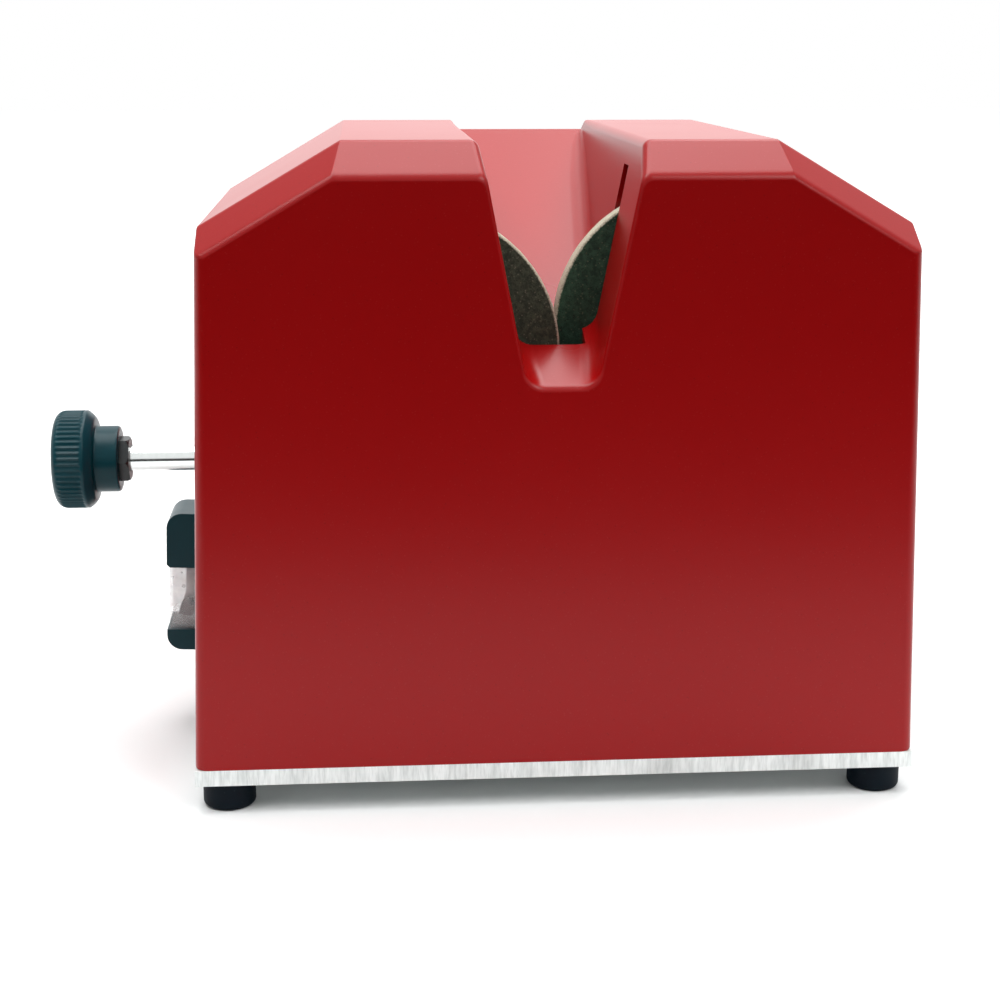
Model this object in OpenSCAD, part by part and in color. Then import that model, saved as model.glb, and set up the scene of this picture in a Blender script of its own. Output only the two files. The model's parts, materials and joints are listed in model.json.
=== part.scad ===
// Electric knife sharpener: two overlapping grinding discs turn in opposite
// directions under a sloping knife trough. A motor drives both by belts,
// and a screw with a knob moves the left disc, on its arm, towards the right one.
// X is to the right, Y away from the user, Z up. The origin is on the table,
// under the middle of the body.

/* [Body] */
// Width of the base plate and of the cover's foot
body_w = 220; // [210:1:250]
// Depth of the base plate and of the cover
body_d = 164; // [160:1:190]
// Height of the cover's top above the table
body_h = 199.5; // [198:0.5:215]
// Thickness of the base plate
plate_t = 5; // [4:0.5:8]
// Wall of the cover
wall_t = 3.5; // [2.5:0.5:4]
// Diameter of a foot
foot_d = 16; // [14:1:18]
// Height of a foot
foot_h = 9; // [7:0.5:10]
// Centre of a foot from the edges of the plate
foot_inset = 9.5; // [9.5:0.5:12]

/* [Cover shape] */
// Inward lean of the cover's side walls, degrees
side_draft = 2; // [1:0.05:3]
// Width of the flat top
top_w = 126; // [120:1:132]
// Slope of the shoulders, degrees
shoulder_angle = 30.4; // [28:0.1:32]
// Depth of the band that falls away at the front and the back
band_d = 12.2; // [8:0.2:14]
// Fall of that band along the top
band_fall = 9.7; // [6:0.1:11]
// Fall of that band along the shoulders, square to them
shoulder_fall = 7; // [4:0.1:8]
// Rounding of the upright edges
edge_r = 3.5; // [2:0.5:5]

/* [Knife trough] */
// Width of the trough at the top
trough_w = 47.8; // [46:0.2:50]
// Lean of the trough's walls, degrees from upright
trough_lean = 11.15; // [10:0.05:12]
// Depth of the trough below the cover's top, at the front
trough_drop = 70; // [67.5:0.5:71.5]
// Rise of the floor towards the back, degrees
ramp_angle = 23.1; // [22:0.1:23.5]
// Rounding between the floor and the walls
floor_r = 5; // [3:0.5:6]
// Rounding of the trough's upper edges
lip_r = 3; // [1.5:0.5:4]
// Wall under and beside the trough
trough_t = 3; // [2:0.5:3.5]
// Upper end of the disc slots, below the cover's top
slot_drop = 8.5; // [6.5:0.5:10.5]
// Reach of each disc slot past the middle
slot_cross = 9; // [8:0.5:10]
// Room between a disc's face and its slot
slot_gap = 1; // [0.6:0.1:1.5]

/* [Grinding discs] */
// Diameter of a disc
disc_d = 84; // [80:1:86]
// Thickness of a disc
disc_t = 7; // [6:0.5:7.5]
// From the front of the cover to the left disc's face
disc_front = 22.5; // [21:0.5:24]
// Gap between the two discs, along their axes
disc_gap = 1; // [0.8:0.1:1.2]
// Left disc's axis, from the middle
left_x = 40.5; // [40:0.5:42]
// Left disc's axis, below the cover's top
left_drop = 62.5; // [61.5:0.5:63.5]
// Right disc's axis, from the middle
right_x = 42.5; // [42:0.5:44]
// Right disc's axis, below the cover's top
right_drop = 57; // [56:0.5:58.5]
// Diameter of the spindles and of the motor shaft
spindle_d = 10; // [9:0.5:11]
// Bore of a disc
disc_bore = 16; // [14:0.5:18]
// Diameter of the flange and washer that clamp a disc
clamp_d = 30; // [26:1:32]
// Thickness of the flange and washer
clamp_t = 3; // [2:0.5:3]

/* [Bearings] */
// Outside diameter of the ball bearings
bearing_d = 26; // [25:0.5:28]
// Width of a ball bearing
bearing_w = 8; // [7:0.5:8]
// Diameter of a ball
ball_d = 4; // [3.5:0.1:4]
// Balls in a bearing
ball_count = 7; // [6:1:8]
// Wall of a bearing housing
housing_t = 4; // [3:0.5:5]
// Length of a disc's bearing housing
housing_l = 28; // [26:1:28]

/* [Motor] */
// Diameter of the motor
motor_d = 88; // [80:1:90]
// Height of the motor's axis above the table
motor_z = 62; // [61:0.5:64]
// From the front of the cover to the motor
motor_front = 90; // [90:0.5:91]
// From the motor's rear bell to the cover's back wall
motor_back = 4.5; // [3.5:0.5:8]
// Length of each end bell
bell_l = 16; // [15:0.5:16]
// Wall of the end bells
bell_t = 3; // [2:0.5:4]
// Diameter of the rotor
rotor_d = 48; // [44:1:50]
// Air gap between rotor and core
air_gap = 0.5; // [0.3:0.1:0.8]
// Blades on the rotor's end
blade_count = 9; // [7:1:12]
// Width of the steel strap over the motor
strap_w = 14; // [10:1:18]
// Thickness of the strap
strap_t = 2; // [1.5:0.5:3]

/* [Belt drive] */
// Width and thickness of the belts
belt_w = 4; // [3.5:0.1:4.2]
// Belt circle on the motor's pulley
motor_pulley_d = 24; // [22:0.5:25]
// Belt circle on a disc's pulley
disc_pulley_d = 36; // [34:0.5:37]
// Rim of a pulley outside its belt circle
pulley_rim = 2.5; // [2:0.1:2.5]
// Width of a disc's pulley
pulley_w = 10; // [8:0.5:10]
// From the front of the cover to the left belt
left_belt_y = 71; // [70.5:0.5:71.5]
// From the front of the cover to the right belt
right_belt_y = 83; // [82.5:0.5:83]

/* [Disc frame] */
// Thickness of the bearing bracket's plate
bracket_t = 8; // [6:0.5:9]
// Thickness of the swing arm
arm_t = 7.7; // [6:0.1:7.7]
// Diameter of the boss that the arm swings on
boss_d = 38; // [36:0.5:40]
// Wall of the arm's hub round the boss
hub_t = 9; // [6:0.5:10]
// Width of the arm between hub and housing
arm_w = 24; // [18:1:26]
// Running clearance of the arm on its boss
arm_fit = 0.05; // [0.02:0.01:0.08]
// Gap left between pieces that move past each other
free_gap = 0.3; // [0.3:0.05:0.4]

/* [Adjusting screw] */
// Diameter of the screw
screw_d = 8; // [7:0.5:9]
// From the front of the cover to the screw
screw_front = 56; // [55:0.5:57]
// Screw below the left disc's axis
screw_drop = 39; // [37:0.5:40]
// Bare rod between the cover and the jam nut
rod_out = 24.5; // [15:0.5:30]
// Diameter of the knob's head
knob_d = 31; // [28:1:36]
// Length of the knob's head
knob_l = 12.6; // [11:0.1:16]
// Diameter of the knob's neck
neck_d = 21; // [18:0.5:24]
// Length of the knob's neck
neck_l = 7.5; // [5:0.5:9]
// Jam nut across its flats
nut_af = 13; // [12:0.5:14]
// Thickness of the jam nut
nut_t = 3; // [2.5:0.5:5]
// Hole in the cover for the screw
screw_hole_d = 12; // [11:0.5:14]
// Running clearance of the screw in its bush and pad
screw_fit = 0.05; // [0.02:0.01:0.08]
// Face of the arm that the screw pushes, from the middle
push_x = 46; // [45:0.5:47]
// Thickness of the screw bracket
post_t = 6; // [5:0.5:8]
// Screw bracket's centre, from the middle
post_x = 77; // [75:0.5:79]

/* [Return spring] */
// Outside diameter of the coil
spring_d = 9; // [8:0.5:10]
// Wire of the spring
spring_wire = 1.2; // [1:0.1:1.4]
// Turns of the coil
spring_turns = 12; // [10:1:14]
// Spring from the middle
spring_x = 39; // [38:0.5:40]

/* [Switch] */
// From the front of the cover to the switch
switch_front = 80; // [74:1:92]
// Height of the switch's centre above the table
switch_z = 52; // [46:0.5:58]
// Height of the switch
switch_h = 47; // [45:0.5:52]
// Width of the switch
switch_w = 20; // [18:0.5:24]
// Reach of the switch out of the wall
switch_out = 15; // [14:0.5:17]
// Height of the upper guard
guard_top = 18.5; // [17:0.5:19]
// Height of the lower guard
guard_low = 7; // [6:0.2:8]
// Rounding of the guards' outer corners
guard_r = 5; // [3:0.5:6]
// Wall of the clear cover
boot_t = 1; // [0.8:0.1:1.2]
// Tilt of the rocker at rest, degrees
rocker_tilt = 10; // [8:1:11]
// Width of the rocker
rocker_w = 9; // [7:0.5:9]

/* [Mains inlet] */
// From the left edge of the base plate to the middle of the inlet
inlet_side = 48; // [44:1:52]
// Height of the inlet above the table
inlet_z = 42; // [36:1:50]
// Width of the inlet's flange
inlet_w = 50; // [48:1:54]
// Height of the inlet's flange
inlet_h = 24; // [23:0.5:28]
// Width of the socket
socket_w = 24; // [23:0.5:25]
// Height of the socket
socket_h = 16; // [15.5:0.5:17]
// Depth of the socket
socket_d = 17; // [15:0.5:19]

/* [Electrical] */
// Diameter of the run capacitor
capacitor_d = 30; // [24:1:30]
// Length of the run capacitor
capacitor_l = 60; // [45:1:70]
// Diameter of the inner wires
wire_d = 2.4; // [2:0.1:3]

/* [Hidden] */
$fn = 48;
cut = 1;                              // how far a cutter reaches past a face

plate_top = foot_h + plate_t;
front_y = -body_d/2;
back_y = body_d/2;

trough_z = body_h - trough_drop;
slot_top = body_h - slot_drop;
left_z = body_h - left_drop;
right_z = body_h - right_drop;
screw_z = left_z - screw_drop;

// Stack of the disc frame, from front to back
left_disc_y = front_y + disc_front;
right_disc_y = left_disc_y + disc_t + disc_gap;
arm_y = right_disc_y + disc_t - 0.5;
bracket_y = arm_y + arm_t + free_gap;
motor_y = front_y + motor_front;
core_y = motor_y + bell_l;
core_l = body_d - motor_front - 2*bell_l - motor_back - wall_t;
rear_bell_y = core_y + core_l;
motor_end_y = rear_bell_y + bell_l;
left_plane = front_y + left_belt_y;
right_plane = front_y + right_belt_y;
ring_t = 1.5;                         // thickness of the arm's retaining ring
ring_depth = 0.8;                     // depth of that ring's groove
boss_y = arm_y - ring_t - 1.5;

pin_r = spindle_d/2;
bearing_r = bearing_d/2;
ball_r = ball_d/2;
ball_circle = (pin_r + bearing_r)/2;
race_gap = 1.2;                       // half the opening between a bearing's rings
race_fit = 0.05;                      // room of a ball in its grooves
housing_r = bearing_r + housing_t;
bearing_inset = 1;                    // bearing from the end of its housing
boss_r = boss_d/2;
motor_r = motor_d/2;
thread_r = 2;                         // radius of the base and cover screws
foot_thread_r = 2.5;
groove_h = belt_w/2 + free_gap;       // half the width of a pulley's groove
belt_shift = belt_w/2 + free_gap;     // how far the crossed runs step aside
bell_boss_l = bearing_w + 2;

screw_y = front_y + screw_front;
screw_r = screw_d/2;
wall_x = side_x(screw_z);
nut_x = -(wall_x + rod_out + nut_t);
neck_x = nut_x - neck_l;
head_x = neck_x - knob_l;
tip_r = screw_r - 1;                  // turned-down end of the screw
pad_l = 6;
pad_r = 7;
pad_dome = 10;                        // radius of the pad's domed face
pad_x = -push_x - free_gap;           // crown of the dome
rod_end = pad_x - 2;
shoulder_end = pad_x - pad_l;
lug_h = 20;
lug_drop = 2;

switch_y = front_y + switch_front;
window_top = switch_h/2 - guard_top;
window_low = -switch_h/2 + guard_low;
window_z = (window_top + window_low)/2;
window_h = window_top - window_low;
pivot_out = 5;                        // rocker's axis, out of the wall
rocker_half = 8;
rocker_rise = 5.5;
pivot_r = 1.5;
ear_t = 2;                            // ears that hold the rocker's pin
ear_gap = 0.5;
base_out = 2.5;                       // switch's base flange

spring_low = plate_top + 12;
spring_high = screw_z - lug_h/2;

// ---------------------------------------------------------------- helpers

// Half width of the cover at height z, t inside its outer face
function side_x(z, t = 0) =
    body_w/2 - t/cos(side_draft) - (z - plate_top)*tan(side_draft);
// Height of the trough's floor at a place along the depth
function ramp_z(y) = trough_z + (y - front_y)*tan(ramp_angle);
// Half width of the trough at height z
function trough_x(z, t = 0) =
    trough_w/2 - (top_z() - z)*tan(trough_lean) + t/cos(trough_lean);
function top_z() = body_h;
function unit(v) = v/norm(v);
function square_to(v, d) = unit(v - (v*d)*d);
// Points of an arc about c
function arc(c, r, from, to, n = 8) =
    [for (i = [0:n]) let (a = from + (to - from)*i/n) c + r*[cos(a), sin(a)]];

module along_x(l) { rotate([90, 0, 90]) linear_extrude(l, center = true) children(); }
module along_y(l) { rotate([90, 0, 0]) linear_extrude(l, center = true) children(); }
// Cylinders from a start, towards +X or +Y
module bar_x(x, y, z, r, l) { translate([x, y, z]) rotate([0, 90, 0]) cylinder(r = r, h = l); }
module bar_y(x, y, z, r, l) { translate([x, y, z]) rotate([-90, 0, 0]) cylinder(r = r, h = l); }
module tube_y(x, y, z, r, bore, l) {
    difference() {
        bar_y(x, y, z, r, l);
        bar_y(x, y - cut, z, bore, l + 2*cut);
    }
}
// A flat outline in X and Z, from y backwards
module slab_y(y, l) { translate([0, y + l/2, 0]) along_y(l) children(); }

// What is left between an edge and its rounding: cut off, or filled in. The
// rounding is a hair too large, so it meets the faces cleanly, without a sliver
module edge_wedge(p, d, u, v, r, l) {
    du = square_to(u, unit(d));
    dv = square_to(v, unit(d));
    a = acos(du*dv);
    side = unit(dv - (du*dv)*du);
    axis = cross(du, side);
    t = r/tan(a/2);
    over = 0.4;
    corner = -over/sin(a/2)*[cos(a/2), sin(a/2)];
    multmatrix([[du.x, side.x, axis.x, p.x], [du.y, side.y, axis.y, p.y],
                [du.z, side.z, axis.z, p.z]])
        linear_extrude(l, center = true) difference() {
            polygon([[t, 0], [t, -over], corner, t*[cos(a), sin(a)] + over*[-sin(a), cos(a)],
                     t*[cos(a), sin(a)]]);
            translate([t, r]) circle(r + 0.02);
        }
}

// A hexagon with flats af apart
module hexagon(af) { circle(d = af/cos(30), $fn = 6); }

// ---------------------------------------------------------------- cover form

// Front view of the cover, t inside its outer face, from height low up
module front_outline(t, low) {
    slope = tan(shoulder_angle);
    lean = tan(side_draft);
    reach = top_z() + top_w/2*slope - t/cos(shoulder_angle);
    sx = (body_w/2 - t/cos(side_draft) - (reach - plate_top)*lean)/(1 - slope*lean);
    tx = (reach - top_z() + t)/slope;
    polygon([[-side_x(low, t), low], [side_x(low, t), low], [sx, reach - sx*slope],
             [tx, top_z() - t], [-tx, top_z() - t], [-sx, reach - sx*slope]]);
}

// Side view of a face that falls away at the front and the back
module band_outline(fall, t) {
    a = atan2(fall, band_d);
    edge = body_d/2 - band_d - t*(1/cos(a) - 1)/tan(a);
    far = body_d/2 + cut;
    drop = -(band_d + cut)*tan(a) - t/cos(a);
    polygon([[-far, -2*body_h], [far, -2*body_h], [far, drop], [edge, -t], [-edge, -t],
             [-far, drop]]);
}

module shoulder_band(side, t) {
    translate([side*top_w/2, 0, top_z()]) rotate([0, side*shoulder_angle, 0])
        along_x(2*body_w) band_outline(shoulder_fall, t);
}

// The cover's outer form, or the form of its hollow with t set to the wall
module cover_form(t = 0, low = plate_top) {
    intersection() {
        along_y(body_d - 2*t) front_outline(t, low);
        along_x(body_w + 2*cut) translate([0, top_z()]) band_outline(band_fall, t);
        shoulder_band(-1, t);
        shoulder_band(1, t);
    }
}

// The knife trough, or with grow set, the trough and its wall
module trough_form(grow = 0) {
    low = trough_z - grow - 8;
    intersection() {
        along_y(body_d + 4*cut) polygon([[-trough_x(low, grow), low], [trough_x(low, grow), low],
            [trough_x(top_z() + cut, grow), top_z() + cut],
            [-trough_x(top_z() + cut, grow), top_z() + cut]]);
        translate([0, front_y, trough_z - grow/cos(ramp_angle)]) rotate([ramp_angle, 0, 0])
            translate([-body_w/4, -body_d/4, 0]) cube([body_w/2, 2*body_d, body_h]);
    }
}

// Rounding between the trough's floor and one wall
module trough_corner(side) {
    z = ramp_z(0);
    rise = tan(ramp_angle);
    lean = tan(trough_lean);
    edge_wedge([side*trough_x(z), 0, z], [side*lean*rise, 1, rise],
        [-side, 0, 0], [side*lean, 0, 1], floor_r, 1.6*body_d);
}

module trough_hollow() {
    difference() {
        trough_form();
        trough_corner(-1);
        trough_corner(1);
    }
}

// One disc slot, cut through the trough's floor and wall
module disc_slot(side, y) {
    far = trough_x(slot_top, trough_t) + cut;
    low = trough_z - 2*trough_t - 5;
    x0 = side < 0 ? -far : -slot_cross;
    translate([x0, y - slot_gap, low])
        cube([far + slot_cross, disc_t + 2*slot_gap, slot_top - low]);
}

// Places of the screws that hold the cover
module at_cover_screws() {
    for (sx = [-1, 1], sy = [-1, 1])
        translate([sx*(body_w/2 - boss_inset_x), sy*(body_d/2 - boss_inset_y), 0]) children();
}
boss_inset_x = 22;
boss_inset_y = 12;
boss_h = 26;
boss_size = 10;

module cover() color([0.55, 0.04, 0.05]) difference() {
    union() {
        difference() {
            cover_form();
            difference() {
                cover_form(wall_t, plate_top - cut);
                trough_form(trough_t);
            }
        }
        intersection() {
            cover_form(wall_t/2);
            for (sx = [-1, 1], sy = [-1, 1])
                translate([sx*(body_w/2 - boss_inset_x) - boss_size/2,
                           min(sy*(body_d/2 - boss_inset_y) - sy*boss_size/2, sy*body_d/2),
                           plate_top])
                    cube([boss_size, boss_inset_y + boss_size/2, boss_h]);
        }
    }
    trough_hollow();
    disc_slot(-1, left_disc_y);
    disc_slot(1, right_disc_y);
    for (sx = [-1, 1]) {
        for (sy = [-1, 1])
            edge_wedge([sx*side_x(top_z()/2), sy*body_d/2, top_z()/2],
                [-sx*tan(side_draft), 0, 1], [0, -sy, 0], [-sx, 0, 0], edge_r, 1.2*body_h);
        edge_wedge([sx*trough_w/2, 0, top_z()], [0, 1, 0], [sx, 0, 0],
            [-sx*tan(trough_lean), 0, -1], lip_r, body_d);
    }
    at_cover_screws() translate([0, 0, plate_top - cut]) cylinder(r = thread_r, h = boss_h);
    bar_x(-body_w/2 - cut, screw_y, screw_z, screw_hole_d/2, 4*wall_t);
    at_switch() translate([-cut, -barrel_w/2, window_z - barrel_h/2])
        cube([wall_t + 3*cut, barrel_w, barrel_h]);
    translate([-inlet_x - inlet_neck_w/2, back_y - wall_t - cut, inlet_z - inlet_neck_h/2])
        cube([inlet_neck_w, wall_t + 2*cut, inlet_neck_h]);
    for (sx = [-1, 1])
        bar_y(-inlet_x + sx*inlet_hole_x, back_y - wall_t - cut, inlet_z, inlet_screw_r,
            wall_t + 2*cut);
}

// ---------------------------------------------------------------- base

module at_feet() {
    for (sx = [-1, 1], sy = [-1, 1])
        translate([sx*(body_w/2 - foot_inset), sy*(body_d/2 - foot_inset), 0]) children();
}

bracket_foot_l = 20;                  // depth of the brackets' feet
bracket_foot_t = 8;
bracket_left = 30;
bracket_right = right_x + housing_r;
post_foot = 24;
post_w = 36;
strap_foot = 14;
strap_x = motor_r + strap_t;

// Places of the screws that come up through the plate into what stands on it
module at_base_screws() {
    for (x = [-bracket_left + 8, bracket_right - 8]) {
        translate([x, bracket_y + bracket_t + 6, 0]) children();
    }
    for (y = [screw_y - post_w/2 + 6, screw_y + post_w/2 - 6])
        translate([-post_x + post_foot - 8, y, 0]) children();
    for (sx = [-1, 1])
        translate([sx*(strap_x + strap_foot/2), core_y + core_l/2, 0]) children();
}
screw_head_r = 4;
screw_head_h = 2;
screw_reach = 6;                      // base screws, above the plate

module plate_screw(reach) {
    translate([0, 0, foot_h]) cylinder(r1 = screw_head_r, r2 = thread_r, h = screw_head_h);
    translate([0, 0, foot_h + screw_head_h])
        cylinder(r = thread_r, h = plate_t - screw_head_h + reach);
}

module base_plate() color([0.78, 0.78, 0.79]) difference() {
    translate([-body_w/2, front_y, foot_h]) cube([body_w, body_d, plate_t]);
    at_feet() translate([0, 0, foot_h - cut]) cylinder(r = foot_thread_r, h = plate_t + 2*cut);
    at_cover_screws() plate_screw(cut);
    at_base_screws() plate_screw(cut);
    translate([-spring_x, screw_y, plate_top - stud_sunk])
        cylinder(r = stud_r, h = stud_sunk + cut);
}

foot_recess_r = 5;
foot_recess_h = 5;

module feet() color([0.06, 0.07, 0.08]) at_feet() rotate_extrude() {
    difference() {
        union() {
            square([foot_d/2 - 1.5, foot_h]);
            translate([0, 1.5]) square([foot_d/2, foot_h - 1.5]);
            translate([foot_d/2 - 1.5, 1.5]) circle(1.5);
        }
        translate([0, -cut]) square([foot_recess_r, foot_recess_h + cut]);
        translate([0, -cut]) square([foot_thread_r, foot_h + 2*cut]);
    }
}

module foot_screws() color([0.6, 0.61, 0.63]) at_feet() {
    translate([0, 0, foot_recess_h - 3]) cylinder(r = foot_recess_r - 0.5, h = 3);
    translate([0, 0, foot_recess_h]) cylinder(r = foot_thread_r, h = plate_top + 2 - foot_recess_h);
}

module cover_screws() color([0.6, 0.61, 0.63]) at_cover_screws() plate_screw(boss_h - 8);

module base_screws() color([0.6, 0.61, 0.63]) intersection() {
    at_base_screws() plate_screw(screw_reach);
    union() {
        translate([-body_w/2, front_y, 0]) cube([body_w, body_d, plate_top + strap_t]);
        translate([-body_w/2, front_y, 0]) cube([body_w, motor_front, plate_top + screw_reach]);
    }
}

// ---------------------------------------------------------------- disc frame

// Left and right ends of a straight web between two circles, as an outline
module web(a, b, w) {
    d = unit(b - a);
    n = [-d.y, d.x]*w/2;
    polygon([a + n, b + n, b - n, a - n]);
}

module bearing_bracket() color([0.62, 0.64, 0.66]) difference() {
    union() {
        slab_y(bracket_y, bracket_t) {
            polygon([[-bracket_left, plate_top], [bracket_right, plate_top],
                [bracket_right, right_z], [right_x - housing_r, right_z],
                [-boss_r*0.7, motor_z + boss_r*0.7], [-bracket_left, motor_z]]);
            translate([0, motor_z]) circle(boss_r + hub_t - 2);
            translate([right_x, right_z]) circle(housing_r);
        }
        translate([-bracket_left, bracket_y, plate_top])
            cube([bracket_left + bracket_right, bracket_t + bracket_foot_l - 6, bracket_foot_t]);
        bar_y(0, boss_y, motor_z, boss_r, bracket_y - boss_y + cut);
        bar_y(right_x, bracket_y, right_z, housing_r, housing_l);
    }
    bar_y(0, boss_y - cut, motor_z, bearing_r, bearing_w + cut);
    bar_y(0, boss_y, motor_z, pin_r + 2, 3*bracket_t + arm_t);
    tube_y(0, boss_y + 0.8, motor_z, boss_r + cut, boss_r - ring_depth, ring_t);
    bearing_seats(right_x, bracket_y, right_z);
    for (x = [-bracket_left + 8, bracket_right - 8])
        translate([x, bracket_y + bracket_t + 6, plate_top - cut])
            cylinder(r = thread_r, h = screw_reach + cut);
}

// The bore of a housing with a seat for a bearing at each end
module bearing_seats(x, y, z) {
    bar_y(x, y - cut, z, bearing_r - 2, housing_l + 2*cut);
    bar_y(x, y - cut, z, bearing_r, bearing_w + bearing_inset + cut);
    bar_y(x, y + housing_l - bearing_w - bearing_inset, z, bearing_r,
        bearing_w + bearing_inset + cut);
}

// The two bearings of a housing
module in_seats(x, y, z) {
    translate([x, y + bearing_inset, z]) children();
    translate([x, y + housing_l - bearing_w - bearing_inset, z]) children();
}

// A race: one of a bearing's two rings, with its groove for the balls
module race(inner) {
    rotate([-90, 0, 0]) rotate_extrude() difference() {
        translate([inner ? pin_r : ball_circle + race_gap, 0])
            square([bearing_r - ball_circle - race_gap, bearing_w]);
        translate([ball_circle, bearing_w/2]) circle(ball_r + race_fit);
    }
}

module balls() {
    for (i = [0:ball_count - 1]) {
        a = 360*i/ball_count;
        translate([ball_circle*cos(a), bearing_w/2, ball_circle*sin(a)]) sphere(ball_r);
    }
}

module at_motor_bearings() {
    for (y = [boss_y, motor_y + bell_boss_l - bearing_w, motor_end_y - bell_boss_l])
        translate([0, y, motor_z]) children();
}

module motor_bearing_rings() color([0.75, 0.76, 0.78]) at_motor_bearings() race(false);
module motor_bearing_balls() color([0.85, 0.85, 0.87]) at_motor_bearings() balls();
module motor_inner_rings() color([0.75, 0.76, 0.78]) at_motor_bearings() race(true);
module right_bearing_rings() color([0.75, 0.76, 0.78])
    in_seats(right_x, bracket_y, right_z) race(false);
module right_bearing_balls() color([0.85, 0.85, 0.87])
    in_seats(right_x, bracket_y, right_z) balls();
module right_inner_rings() color([0.75, 0.76, 0.78])
    in_seats(right_x, bracket_y, right_z) race(true);
module left_bearing_rings() color([0.75, 0.76, 0.78])
    in_seats(-left_x, arm_y, left_z) race(false);
module left_bearing_balls() color([0.85, 0.85, 0.87])
    in_seats(-left_x, arm_y, left_z) balls();
module left_inner_rings() color([0.75, 0.76, 0.78])
    in_seats(-left_x, arm_y, left_z) race(true);

module arm_retaining_ring() color([0.3, 0.3, 0.32])
    tube_y(0, boss_y + 0.8, motor_z, boss_r + 3, boss_r - ring_depth, ring_t);

module swing_arm() color([0.55, 0.57, 0.6]) difference() {
    union() {
        slab_y(arm_y, arm_t) {
            translate([0, motor_z]) circle(boss_r + hub_t);
            translate([-left_x, left_z]) circle(housing_r);
            web([0, motor_z], [-left_x, left_z], arm_w);
            translate([-push_x, screw_z - lug_h/2]) square([push_x - left_x/2, lug_h]);
        }
        translate([-push_x, arm_y, screw_z - lug_h/2])
            cube([lug_w, screw_y + lug_h/2 - 2 - arm_y, lug_h]);
        bar_y(-left_x, arm_y, left_z, housing_r, housing_l);
    }
    bar_y(0, arm_y - cut, motor_z, boss_r + arm_fit, arm_t + 2*cut);
    bearing_seats(-left_x, arm_y, left_z);
}
lug_w = 14;

// ---------------------------------------------------------------- discs

// A spindle with its clamping flange; y is the disc's front face
module spindle(x, y, z, housing_y, plane) {
    end = plane + pulley_w/2 + 1;
    bar_y(x, y - 9, z, pin_r, end - y + 9);
    bar_y(x, y, z, disc_bore/2, disc_t);
    bar_y(x, y + disc_t, z, clamp_d/2, clamp_t);
    bar_y(x, y + disc_t, z, pin_r + 2, housing_y + bearing_inset - y - disc_t);
}

module disc(x, y, z) {
    rim = 0.8;                        // worn edge of the disc
    translate([x, y, z]) rotate([-90, 0, 0]) rotate_extrude($fn = 96)
        polygon([[disc_bore/2, 0], [disc_d/2 - rim, 0], [disc_d/2, rim],
                 [disc_d/2, disc_t - rim], [disc_d/2 - rim, disc_t], [disc_bore/2, disc_t]]);
}

// Washer and nut in front of a disc
module disc_nut(x, y, z) {
    tube_y(x, y - clamp_t, z, clamp_d/2, pin_r, clamp_t);
    difference() {
        slab_y(y - clamp_t - 5, 5) translate([x, z]) hexagon(17);
        bar_y(x, y - clamp_t - 5 - cut, z, pin_r, 5 + 2*cut);
    }
}

module pulley_groove(x, plane, z, d) {
    translate([x, plane, z]) rotate([-90, 0, 0]) rotate_extrude($fn = 72)
        translate([d/2 - groove_h, -groove_h]) square([groove_h + pulley_rim + cut, 2*groove_h]);
}

// A disc's pulley, with a collar that reaches its bearing
module disc_pulley(x, plane, z, bearing_end) {
    difference() {
        union() {
            bar_y(x, plane - pulley_w/2, z, disc_pulley_d/2 + pulley_rim, pulley_w);
            bar_y(x, bearing_end, z, pin_r + 2, plane - bearing_end);
        }
        pulley_groove(x, plane, z, disc_pulley_d);
        bar_y(x, bearing_end - cut, z, pin_r, plane + pulley_w - bearing_end + 2*cut);
    }
}

module right_spindle() color([0.72, 0.73, 0.75])
    spindle(right_x, right_disc_y, right_z, bracket_y, right_plane);
module right_disc() color([0.22, 0.24, 0.2]) disc(right_x, right_disc_y, right_z);
module right_disc_nut() color([0.6, 0.61, 0.63]) disc_nut(right_x, right_disc_y, right_z);
module right_pulley() color([0.7, 0.71, 0.72])
    disc_pulley(right_x, right_plane, right_z, bracket_y + housing_l - bearing_inset);
module left_spindle() color([0.72, 0.73, 0.75])
    spindle(-left_x, left_disc_y, left_z, arm_y, left_plane);
module left_disc() color([0.26, 0.26, 0.22]) disc(-left_x, left_disc_y, left_z);
module left_disc_nut() color([0.6, 0.61, 0.63]) disc_nut(-left_x, left_disc_y, left_z);
module left_pulley() color([0.7, 0.71, 0.72])
    disc_pulley(-left_x, left_plane, left_z, arm_y + housing_l - bearing_inset);

// ---------------------------------------------------------------- belts

// A round bar between two points
module rod(a, b, r) {
    d = b - a;
    translate(a) rotate([0, acos(d.z/norm(d)), atan2(d.y, d.x)]) cylinder(r = r, h = norm(d));
}

// Ball that closes the joint between two bars of radius r
module joint(r) { sphere(r + 0.1); }

// A straight bar of square section between two points
module strip(a, b) {
    d = b - a;
    translate(a) rotate([0, acos(d.z/norm(d)), atan2(d.y, d.x)])
        translate([-belt_w/2, -belt_w/2, 0]) cube([belt_w, belt_w, norm(d)]);
}

// The part of a belt that lies on a pulley, in the plane of the outline
module belt_arc(c, r, from, to) {
    linear_extrude(belt_w, center = true)
        polygon(concat(arc(c, r + belt_w/2, from, to, 24), arc(c, r - belt_w/2, to, from, 24)));
}

// Turns a flat drawing in X and Z, with heights along Y, to its belt plane
module belt_plane(y) { translate([0, y, 0]) rotate([90, 0, 0]) children(); }

// Outline that runs round two pulleys, h outside the belt's middle
module round_both(a, ra, b, rb, h) {
    dir = atan2(b.y - a.y, b.x - a.x);
    turn = acos((ra - rb)/norm(b - a));
    polygon(concat(arc(a, ra + h, dir + turn, dir + 360 - turn, 24),
                   arc(b, rb + h, dir - turn, dir + turn, 24)));
}

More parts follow.
